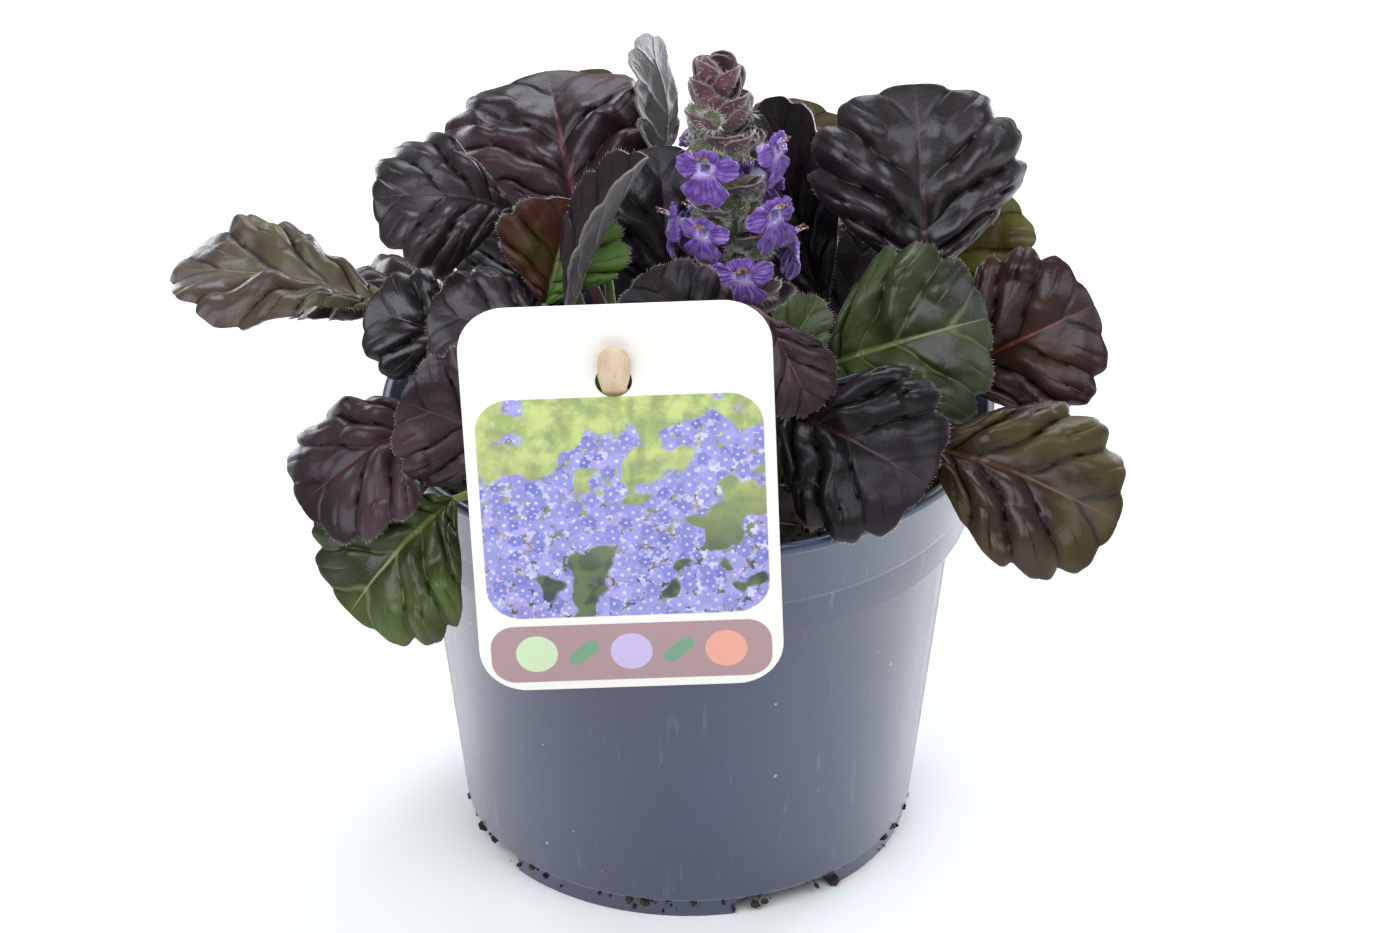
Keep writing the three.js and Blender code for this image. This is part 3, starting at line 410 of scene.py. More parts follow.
@dataclass(frozen=True)
class LeafFinish:
    """The finishes of one tone of leaf: upper skin, underside, margin and petiole.

    Args:
        name: the tone's plain name.
        deep: darkest display colour of the upper skin.
        flush: the colour that breaks through in patches.
        vein: colour of the midrib above.
        under: colour of the underside.
        stalk: colour of the petiole.
        flush_share: how much of the skin the flush covers, from 0 to 1.
        halved: True where the flush keeps to one half of the blade.
        side_vein: colour of the side veins.
        valley_shade: colour of the painted shade in the valleys that the side veins lie in.
        gloss: strength of the highlights.
    """

    name: str
    deep: int
    flush: int
    vein: int
    under: int
    stalk: int
    flush_share: float = 0.4
    halved: bool = False
    side_vein: int = 0x140D10
    valley_shade: int = 0x100B0E
    gloss: float = 0.5

    EDGE = 0x4A3A3C
    PATCH_SOFT = 0.12
    WRINKLES = ((420.0, 3.0, 0.5), (1300.0, 2.0, 0.28))
    SPECULAR = 0.7
    SPECULAR_TINT = (1.0, 0.88, 0.94, 1.0)
    COAT = 0.6
    COAT_ROUGH = 0.19
    UNDER_SHADE = 0.45
    UNDER_LIGHT = 1.8
    STALK_LIGHT = 1.6

    def build(self, veins: float) -> tuple[Material, ...]:
        """Makes the four materials for a blade.

        Args:
            veins: its side veins on each half.

        Returns:
            The materials in the order of a leaf's material numbers: skin, underside, margin, petiole.
        """
        kind = f"{self.name}_{round(10 * veins)}"
        skin = bpy.data.materials.get("skin_" + kind) or self.skin("skin_" + kind, veins)
        under = bpy.data.materials.get("underside_" + kind) or self.underside("underside_" + kind, veins)
        stalk = Finish("petiole_" + self.name, self.stalk, self.stalk, rough=(0.35, 0.5), fine=1500,
                       relief=0.05, grain=(1, 1, 0.2), bright=self.STALK_LIGHT)
        return skin, under, MARGIN.build(), stalk.build()

    def skin(self, name: str, count: float) -> Material:
        """The glossy, finely wrinkled upper side, with painted shade in the valleys between its bulges.

        Args:
            name: the material's name.
            count: side veins on each half.

        Returns:
            The material.
        """
        material, g, shader = new_material(name)
        where, veins = self.ground(g, count)
        broad, fine = g.mottle(where, 45.0, 1300.0)
        level = 0.72 - 0.45 * self.flush_share
        patch = g.span(broad, level - self.PATCH_SOFT, level + self.PATCH_SOFT)
        if self.halved:
            half = g.axes(g.spot("UV"))[1]
            patch = g.math("MAXIMUM", g.times(patch, 0.3), g.span(half, 0.56, 0.42))
        color = g.mix(patch, ink(self.deep), ink(self.flush))
        # Painted shade: bands along the side veins are darkened as if the bulges shaded the valleys.
        for part, share, tone in (("Valley", 0.45, self.valley_shade), ("Vein", 0.5, self.side_vein),
                                  ("Rib", 0.6, self.vein), ("Edge", 0.6, self.EDGE)):
            color = g.tint(color, veins[part], share, ink(tone))
        wrinkle = g.plus(*(g.times(g.noise(where, scale, detail, 0.5), share)
                           for scale, detail, share in self.WRINKLES))
        height = g.minus(wrinkle, g.times(veins["Vein"], 0.7))
        rough = g.plus(g.span(broad, *MIDDLE_SHARE, 0.3, 0.46), g.times(fine, 0.12))
        g.feed(shader, {"Base Color": color, "Roughness": rough, "Normal": g.bump(height, 0.3),
                        "Specular IOR Level": self.SPECULAR * self.gloss, "Specular Tint": self.SPECULAR_TINT,
                        "Coat Weight": self.COAT * self.gloss ** 2, "Coat Roughness": self.COAT_ROUGH})
        return material

    def underside(self, name: str, count: float) -> Material:
        """The dull, hairy underside with its veins standing out.

        Args:
            name: the material's name.
            count: side veins on each half.

        Returns:
            The material.
        """
        material, g, shader = new_material(name)
        where, veins = self.ground(g, count)
        broad, fine = g.mottle(where, 60.0, 1600.0)
        under = ink(self.under)
        color = g.mix(g.span(broad, *MIDDLE_SHARE), lit(under, self.UNDER_SHADE), under)
        color = g.tint(color, veins["Vein"], 0.6, lit(under, self.UNDER_LIGHT))
        height = g.plus(fine, g.times(veins["Vein"], 1.5))
        g.feed(shader, {"Base Color": color, "Roughness": g.span(fine, 0.3, 0.7, 0.5, 0.7),
                        "Normal": g.bump(height, 0.2), "Sheen Weight": 0.35, "Sheen Roughness": 0.5})
        return material

    @staticmethod
    def ground(g: Graph, count: float) -> tuple[Socket, bpy.types.NodeOutputs]:
        """The object's coordinates and the masks of a blade's venation."""
        veins = g.effect("venation", {"UV": g.spot("UV"), "Veins": count})
        return g.spot(), veins.outputs


class Tone(Enum):
    """The leaf colours that one plant shows, from old outer leaves to young inner ones. One of them is the
    purple-black made darker and duller as painted shade, for leaves in the shadow of others.
    """

    PURPLE_BLACK = LeafFinish("purple_black", 0x110B0E, 0x23181E, 0x4C303A, 0x4E4447, 0x4C5A2C, 0.4,
                              gloss=0.65)
    # Painted shade: a darker, duller copy of the purple-black, for leaves in the shadow of other leaves and
    # the card.
    SHADED_PURPLE_BLACK = LeafFinish("shaded_purple_black", 0x0A0609, 0x150E15, 0x40242E, 0x3E363A, 0x4C5A2C, 0.4, gloss=0.42)
    PLUM = LeafFinish("plum", 0x24181D, 0x402C32, 0x64303A, 0x5A4C51, 0x5A3A34, 0.45, gloss=0.46)
    OLIVE = LeafFinish("olive", 0x2E1D16, 0x443A12, 0x6A4A30, 0x56543F, 0x6E7A3A, 0.5)
    BACKLIT = LeafFinish("backlit", 0x4C3A14, 0x6A6E1C, 0x8A8440, 0x6C6A38, 0x6E7A3A, 0.6,
                         side_vein=0x3C3A10, valley_shade=0x30280C)
    RED_BROWN = LeafFinish("red_brown", 0x281411, 0x402518, 0x844630, 0x5C504A, 0x7A5236, 0.45)
    GREEN = LeafFinish("green", 0x262E12, 0x465624, 0x8A9A5C, 0x525C40, 0x7A9048, 0.55,
                       side_vein=0x74864A, valley_shade=0x161C0A)
    FRESH = LeafFinish("fresh", 0x1C2310, 0x36421E, 0x7C8E56, 0x526A34, 0x7A9440, 0.55,
                       side_vein=0x66763E, valley_shade=0x121608)
    YOUNG = LeafFinish("young", 0x3E120C, 0x4C6A2A, 0x7E8A50, 0x5A443A, 0x5E7A30, 0.15, True,
                       side_vein=0x3E2218, valley_shade=0x1A0A08, gloss=0.4)
    FADED = LeafFinish("faded", 0x44362E, 0x5C563C, 0x7A6A4C, 0x6A6858, 0x6E7A3A, 0.5)
    GREY = LeafFinish("grey", 0x1E1519, 0x2C2226, 0x4A3A3A, 0x625A5A, 0x6A7048, 0.35)


def outward(form: Form) -> Form:
    """Turns all faces of a closed form outward."""
    bmesh.ops.recalc_face_normals(form, faces=form.faces)
    return form


def formed_sheet(rows: int, columns: int, place: Place) -> Form:
    """Makes a grid, keeps its places as a UV map, and moves each vertex where place puts it.

    Args:
        rows: faces along u, which runs from 0 to 1.
        columns: faces along v, which runs from 0 to 1.
        place: gives a point in millimetres for u and v.

    Returns:
        The sheet. Ends that fall on one point, and sides that meet, are merged.
    """
    sheet = bmesh.new()
    bmesh.ops.create_grid(sheet, x_segments=rows, y_segments=columns, size=1.0)
    layer = sheet.loops.layers.uv.new("UVMap")
    for face in sheet.faces:
        for loop in face.loops:
            loop[layer].uv = ((loop.vert.co.x + 1) / 2, (loop.vert.co.y + 1) / 2)
    for vert in sheet.verts:
        vert.co = place((vert.co.x + 1) / 2, (vert.co.y + 1) / 2) * MM
    bmesh.ops.remove_doubles(sheet, verts=sheet.verts, dist=MERGE)
    bmesh.ops.dissolve_degenerate(sheet, dist=MERGE / 2, edges=sheet.edges)
    return sheet


def thicken(sheet: Form, thickness: float) -> Form:
    """Gives an open sheet its thickness about its middle.

    Args:
        sheet: faces look to the upper side.
        thickness: in millimetres.

    Returns:
        The closed form. Material 0 is the upper side, 1 the underside and 2 the rim.
    """
    sheet.normal_update()
    way = sheet.verts.layers.float_vector.new("way")
    for vert in sheet.verts:
        vert[way] = vert.normal
    under = sheet.faces[:]
    made = bmesh.ops.extrude_face_region(sheet, geom=under, use_keep_orig=True)
    upper = {item for item in made["geom"] if isinstance(item, bmesh.types.BMFace)}
    raised = set(made_verts(made))
    for vert in sheet.verts:
        vert.co += vert[way] * (thickness * MM * (0.5 if vert in raised else -0.5))
    bmesh.ops.reverse_faces(sheet, faces=under)
    under = set(under)
    for face in sheet.faces:
        face.material_index = 0 if face in upper else 1 if face in under else 2
    sheet.verts.layers.float_vector.remove(way)
    return outward(sheet)


def tube(path: list[Vector], radius: Callable[[float], float], sides: int = 8, flat: float = 1.0,
         facing: Vector | None = None, power: float = 2.0) -> Form:
    """Skins a closed tube round a path.

    Args:
        path: the centreline's points, in millimetres.
        radius: gives the radius for the share of the path from 0 to 1.
        sides: faces round the tube.
        flat: thickness as a share of the width.
        facing: the way the width's normal looks, on a flat tube.
        power: 2 for a round section; more makes it squarer.

    Returns:
        The tube, with its ends closed.
    """
    last = len(path) - 1
    tangents = [(path[min(at + 1, last)] - path[max(at - 1, 0)]).normalized() for at in range(last + 1)]
    up = facing or (Vector((0, 0, 1)) if abs(tangents[0].z) < 0.9 else Vector((1, 0, 0)))
    ups = []
    for tangent in tangents:
        up = (up - tangent * up.dot(tangent)).normalized()
        ups.append(up)

    def place(u: float, v: float) -> Vector:
        """Finds a point of the skin.

        Args:
            u: share of the path and its ends.
            v: share of the turn.

        Returns:
            The point, in millimetres.
        """
        ring = round(u * (last + 2)) - 1
        at = min(max(ring, 0), last)
        size = radius(at / last) if ring == at else 0.0
        turn = tau * v
        side = ups[at].cross(tangents[at])
        across, out = cos(turn), sin(turn)
        size /= (abs(across) ** power + abs(out) ** power) ** (1 / power)
        return path[at] + size * (side * across + ups[at] * (out * flat))

    return outward(formed_sheet(last + 2, sides, place))


def moved(form: Form, place: Matrix) -> Form:
    """Puts a whole form where the matrix says, in metres."""
    bmesh.ops.transform(form, matrix=place, verts=form.verts)
    return form


def made_verts(made: dict) -> list[bmesh.types.BMVert]:
    """The vertices among what an operator made."""
    return [item for item in made["geom"] if isinstance(item, bmesh.types.BMVert)]


def ball(radii: Point, middle: Point = (0, 0, 0)) -> Form:
    """Makes a small rounded solid.

    Args:
        radii: along x, y and z, in millimetres.
        middle: where its middle is, in millimetres.

    Returns:
        The closed form.
    """
    form = bmesh.new()
    bmesh.ops.create_icosphere(form, subdivisions=2, radius=MM)
    bmesh.ops.scale(form, vec=radii, verts=form.verts)
    bmesh.ops.translate(form, vec=Vector(middle) * MM, verts=form.verts)
    form.loops.layers.uv.new("UVMap")
    return form


def hair(sides: int = 3) -> Form:
    """Makes a hair of unit length along +Z with unit radius at its root.

    Args:
        sides: faces round it.

    Returns:
        The closed form.
    """
    form = bmesh.new()
    bmesh.ops.create_cone(form, cap_ends=True, segments=sides, radius1=1.0, radius2=0.0, depth=1.0)
    bmesh.ops.translate(form, vec=(0, 0, 0.5), verts=form.verts)
    form.loops.layers.uv.new("UVMap")
    return form


def scattered(template: Form, places: list[Matrix]) -> Form:
    """Copies a small form to many places by doubling.

    Args:
        template: the form, which is used up.
        places: a matrix for each copy, in metres.

    Returns:
        All the copies as one form.
    """
    shell = template.verts.layers.int.new("shell")
    made = 1
    while made < len(places):
        chosen = [vert for vert in template.verts if vert[shell] < len(places) - made]
        edges = {edge for vert in chosen for edge in vert.link_edges}
        faces = {face for vert in chosen for face in vert.link_faces}
        for vert in made_verts(bmesh.ops.duplicate(template, geom=chosen + list(edges) + list(faces))):
            vert[shell] += made
        made += min(made, len(places) - made)
    for vert in template.verts:
        vert.co = places[vert[shell]] @ vert.co
    template.verts.layers.int.remove(shell)
    return template


def upright(way: Vector) -> Matrix:
    """The turn that brings +Z round to a direction."""
    return way.to_track_quat("Z", "Y").to_matrix().to_4x4()


def hairs(roots: Iterable[tuple[Vector, Vector]], draw: random.Random, length: Pair,
          radius: float, stray: float = 0.5) -> Form:
    """Makes many hairs as one form.

    Args:
        roots: root and direction of each hair, in millimetres.
        draw: the seeded draws.
        length: shortest and longest hair, in millimetres.
        radius: radius at the root, in millimetres.
        stray: how far a hair may lean from its direction.

    Returns:
        The hairs.
    """
    places = []
    for root, way in roots:
        lean = Vector([draw.uniform(-stray, stray) for _ in range(3)])
        turn = upright(way.normalized() + lean)
        size = Matrix.Diagonal((radius * MM, radius * MM, draw.uniform(*length) * MM, 1))
        places.append(Matrix.Translation(root * MM) @ turn @ size)
    return scattered(hair(), places)


def loose_object(name: str, form: Form, *finishes: Material) -> bpy.types.Object:
    """Puts a form into the scene.

    Args:
        name: the object's name.
        form: the form, which is used up.
        finishes: its materials, in the order of its faces' material numbers.

    Returns:
        The object, at the origin.
    """
    mesh = bpy.data.meshes.new(name)
    form.to_mesh(mesh)
    form.free()
    for finish in finishes:
        mesh.materials.append(finish)
    item = bpy.data.objects.new(name, mesh)
    bpy.context.scene.collection.objects.link(item)
    return item


def cut_away(form: Form, cutters: list[Form]) -> Form:
    """Takes solids away from a form.

    Args:
        form: the solid, which is used up.
        cutters: the solids to take away, which are used up.

    Returns:
        What is left.
    """
    whole = loose_object("whole", form)
    tools = [loose_object("cut", cut) for cut in cutters]
    for tool in tools:
        modifier = whole.modifiers.new("cut", "BOOLEAN")
        modifier.operation = "DIFFERENCE"
        modifier.solver = "EXACT"
        modifier.object = tool
    bpy.context.view_layer.update()
    left = bmesh.new()
    left.from_object(whole, bpy.context.evaluated_depsgraph_get())
    left.loops.layers.uv.verify()
    for item in [whole, *tools]:
        bpy.data.objects.remove(item)
    return left


@dataclass
class Piece:
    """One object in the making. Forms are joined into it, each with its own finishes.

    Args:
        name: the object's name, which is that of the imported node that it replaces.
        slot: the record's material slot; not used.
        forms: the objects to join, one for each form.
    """

    name: str
    slot: str
    forms: list[bpy.types.Object] = field(default_factory=list)

    def join(self, form: Form, *finishes: Material) -> None:
        """Adds a form. Faces with material number n wear the nth finish."""
        self.forms.append(loose_object(self.name, form, *finishes))

    def done(self, sharp: float) -> None:
        """Joins the forms, smooths them, parents the piece to the body's empty and hides the imported part
        that it replaces.

        Args:
            sharp: edges that turn more than this many degrees stay sharp.
        """
        whole = self.forms[0]
        if len(self.forms) > 1:
            with bpy.context.temp_override(active_object=whole, object=whole, selected_objects=self.forms,
                                           selected_editable_objects=self.forms):
                bpy.ops.object.join()
        whole.name = self.name + "_dressed"
        whole.data.shade_smooth()
        whole.data.set_sharp_from_angle(angle=radians(sharp))
        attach(whole, BODY)
        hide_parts(self.name)
        triangles = sum(len(face.vertices) - 2 for face in whole.data.polygons)
        LOG.info("%s: %d triangles", self.name, triangles)


@dataclass(frozen=True)
class Blade:
    """A leaf blade or a bract. Lines of even t follow its side veins.

    Args:
        base: where the blade starts, in millimetres.
        tip: where it ends.
        face: the way its upper side looks.
        width: across its widest place.
        veins: side veins on each half; half a vein ends at the tip.
        arch: how far the middle is lifted, as a share of the length.
        cup: how far the margins rise.
        fold: how far the halves close on the midrib.
        roll: how far the margin turns down.
        flutter: how far the margin waves.
        phase: where the wave starts.
        notch: depth of the notches between the lobes.
        pucker: height of the bulges between the veins, as a share of the width.
    """

    base: Point
    tip: Point
    face: Point
    width: float
    veins: float = 5.5
    arch: float = 0.0
    cup: float = 0.0
    fold: float = 0.0
    roll: float = 0.0
    flutter: float = 0.0
    phase: float = 0.0
    notch: float = 0.14
    pucker: float = 0.088

    BOW = -0.03
    SHOULDER = 0.35
    SHOULDER_END = 0.5
    MARGIN_POWER = 0.8
    TIP_POWER = 0.75
    RIB_START = 0.3
    RIB_POWER = 3.0
    SMALL_NOTCH = 0.3
    NOTCH_REACH = 6
    WAVES = 1.5
    WAVE_SHIFT = 1.3
    BULGE_POWER = 0.8
    BULGE_SPAN = 0.85
    CALM_TIP = 0.6
    CELLS = 1.7
    CELL_DEPTH = 0.35
    UNEVEN = 0.35
    BROAD_SIZE = 7
    CLOSE_SIZE = 2.4
    FORK_WIDTH = 0.25
    FORK_DEPTH = 0.35
    CHANNEL_WIDTH = 1.1
    CHANNEL_DEPTH = 0.5

    def axes(self) -> tuple[Vector, Vector, Vector, float]:
        """Works out the blade's own directions.

        Returns:
            Along the midrib, across it to the right, out of the upper side, and the length.
        """
        along = Vector(self.tip) - Vector(self.base)
        length = along.length
        along.normalize()
        up = (Vector(self.face) - along * along.dot(Vector(self.face))).normalized()
        return along, along.cross(up), up, length

    def point(self, t: float, s: float) -> Vector:
        """Finds a point of the middle surface.

        Args:
            t: from the base, 0, to the tip, 1.
            s: from one margin, -1, to the other, 1.

        Returns:
            The point, in millimetres.
        """
        along, across, up, length = self.axes()
        side, half, sign = abs(s), self.width / 2, copysign(1.0, s)
        crest = abs(sin(pi * self.veins * t))
        ease = max(0.0, sin(pi * t))
        shoulder = self.SHOULDER + (1 - self.SHOULDER) * smooth(0, self.SHOULDER_END, t)
        margin_x = half * ease ** self.MARGIN_POWER * shoulder
        margin_y = length * ((1 - cos(pi * t)) / 2) ** self.TIP_POWER
        rib_y = length * between(t ** self.RIB_POWER, t, self.RIB_START)
        fork = abs(cos(pi * self.veins * t))
        lobes = self.notch * ((1 - crest) + self.SMALL_NOTCH * (1 - min(1.0, fork * 1.6)) * ease ** 0.5)
        reach = side * (1 - lobes * side ** self.NOTCH_REACH)
        x = sign * margin_x * reach
        y = rib_y + (margin_y - rib_y) * reach - self.BOW * length * ease * sin(pi * side)
        run, spread = y / length, abs(x) / half
        wave = sin(tau * (self.WAVES * t + self.phase) + self.WAVE_SHIFT * sign)
        lift = self.arch * length * 4 * run * (1 - run)
        lift += half * (self.cup + self.flutter * wave) * spread ** 2
        lift += half * (self.fold - self.roll * side ** 4) * spread
        lift += self.relief(t, s, x, y, ease)
        return Vector(self.base) + along * y + across * x + up * lift

    def relief(self, t: float, s: float, x: float, y: float, ease: float) -> float:
        """Raises the bulges with their forks and wrinkles, and sinks the channel of the midrib.

        Args:
            t: from the base, 0, to the tip, 1.
            s: from one margin, -1, to the other, 1.
            x: distance from the midrib, in millimetres.
            y: distance from the base, in millimetres.
            ease: 0 at both ends of the blade and 1 at its middle.

        Returns:
            The height, in millimetres.
        """
        side, lobe = abs(s), floor(self.veins * t)
        still = (1 - side ** 2) * min(1.0, WANDER_START * side) * (1 - t ** 2)
        turn = pi * self.veins * (t + WANDER * sin(WANDER_SIDE * side + WANDER_RUN * t) * still)
        crest, cosine = abs(sin(turn)), abs(cos(turn))
        seed = self.width + 7 * self.phase
        broad = noise.noise(Vector((x / self.BROAD_SIZE, y / self.BROAD_SIZE, seed)))
        close = noise.noise(Vector((x / self.CLOSE_SIZE, y / self.CLOSE_SIZE, seed + 9)))
        swell = sin(pi * self.BULGE_SPAN * side ** self.BULGE_POWER)
        swell *= smooth(1.0, self.CALM_TIP, t)
        fork = max(0.0, 1 - cosine / self.FORK_WIDTH) * smooth(0.45, 0.75, side)
        start = 0.37 * lobe + 0.2 * copysign(1, s)
        cross = abs(sin(pi * (self.CELLS * side + start + self.UNEVEN * broad)))
        cell = 1 - self.CELL_DEPTH + self.CELL_DEPTH * cross ** 0.5
        pillow = crest ** 0.5 * cell * (1 - self.FORK_DEPTH * fork)
        height = self.pucker * self.width * ease ** 0.5 * pillow * swell * (1 + 2 * self.UNEVEN * broad)
        height += self.pucker * self.width * ease * (self.UNEVEN * broad + 0.04 * close)
        channel = exp(-((x / self.CHANNEL_WIDTH) ** 2)) * (1 - 0.7 * t)
        return height - self.CHANNEL_DEPTH * channel * ease

    def sheet(self, rows: int, columns: int) -> Form:
        """Makes an open sheet with its upper side out. Its rows lie closer at the ends.

        Args:
            rows: faces along the blade.
            columns: faces across it.

        Returns:
            The sheet.
        """
        def place(u: float, v: float) -> Vector:
            """The point at a share of the length and of the width."""
            t = u - CLOSE_ENDS * sin(tau * u) / tau
            return self.point(t, 1 - 2 * v)

        return formed_sheet(rows, columns, place)

    def margin(self, count: int) -> list[tuple[Vector, Vector]]:
        """Places the roots of hairs evenly round the margin.

        Args:
            count: how many, on both halves together.

        Returns:
            A point for each, with the way out of the blade.
        """
        roots = []
        for at in range(count):
            t, s = 0.06 + 0.94 * (at + 0.5) / count, 1 if at % 2 else -1
            edge = self.point(t, s)
            inner = self.point(t, 0.9 * s)
            if (edge - inner).length > 1e-6:
                roots.append((edge, edge - inner))
        return roots


@dataclass(frozen=True)
class Leaf:
    """A leaf: its blade and the petiole that carries it out of the soil.

    Args:
        name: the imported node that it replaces.
        foot: where the petiole leaves the soil.
        blade: the blade.
        stalk: radius of the petiole.
        tone: its colours.
        slot: the record's material slot.
    """

    name: str
    foot: Pair
    blade: Blade
    stalk: float
    tone: Tone
    slot: str

    ROOT = 84.0
    COLLAR = 96.5
    CLIMB = 0.4
    APPROACH = 0.35
    RISE = 0.6
    TAPER = 0.45
    STEPS = 18
    RIB_STEPS = 16
    SINK = 0.45
    RIB_SINK = 0.35
    THICKNESS = 0.5
    LARGE = 30
    FACES = (56, 36)
    LARGE_FACES = (92, 56)
    HAIRS_PER_MM = 7

    def petiole(self) -> list[Vector]:
        """Bends the petiole straight up out of the soil, then over to the blade.

        Returns:
            Its centreline, in millimetres.
        """
        along, _, up, _ = self.blade.axes()
        root = Vector((*self.foot, self.ROOT))
        collar = Vector((*self.foot, self.COLLAR))
        base = Vector(self.blade.base)
        reach = (base - collar).length
        arrival = (along + Vector((0, 0, self.RISE))).normalized()
        first = collar + Vector((0, 0, self.CLIMB * reach))
        second = base - arrival * (self.APPROACH * reach)
        bend = [root]
        for step in range(self.STEPS + 1):
            t = step / self.STEPS
            bend.append(collar * (1 - t) ** 3 + first * (3 * t * (1 - t) ** 2)
                        + second * (3 * t ** 2 * (1 - t)) + base * t ** 3)
        return bend + [self.blade.point(0.06, 0) - up * self.SINK]

    def rib(self) -> list[Vector]:
        """Runs the midrib just under the blade.

        Returns:
            Its centreline, in millimetres.
        """
        sink = self.blade.axes()[2] * self.RIB_SINK
        return [self.blade.point(0.02 + 0.9 * at / self.RIB_STEPS, 0) - sink
                for at in range(self.RIB_STEPS + 1)]

    def build(self, draw: random.Random) -> None:
        """Builds the leaf as one piece.

        Args:
            draw: the seeded draws for its hairs.
        """
        skin, under, margin, stalk = self.tone.value.build(self.blade.veins)
        piece = Piece(self.name, self.slot)
        faces = self.LARGE_FACES if self.blade.width >= self.LARGE else self.FACES
        piece.join(thicken(self.blade.sheet(*faces), self.THICKNESS), skin, under, margin)
        piece.join(tube(self.petiole(), lambda t: self.stalk * (1 - self.TAPER * t ** 2), 10), stalk)
        piece.join(tube(self.rib(), lambda t: self.stalk * (0.55 - 0.42 * t), 8), under)
        roots = self.blade.margin(round(self.blade.width * self.HAIRS_PER_MM))
        piece.join(hairs(roots, draw, (0.5, 1.1), 0.045), MARGIN_HAIR.build())
        piece.done(sharp=70)


def leaf(name: str, foot: Pair, base: Point, tip: Point, face: Point, width: float,
         stalk: float, tone: Tone, slot: str = "leaf_dark", **bends: float) -> Leaf:
    """Puts a leaf together from its places, sizes and bends."""
    return Leaf(name, foot, Blade(base, tip, face, width, **bends), stalk, tone, slot)


FEW = {"veins": 4.5}
OUTER = {"arch": 0.12, "cup": -0.1, "roll": 0.1, "flutter": 0.06}
INNER = {"arch": 0.08, "cup": -0.05, "roll": 0.05, "flutter": 0.06}
HIDDEN = {"arch": 0.08, "cup": -0.06, "roll": 0.05, "flutter": 0.05}

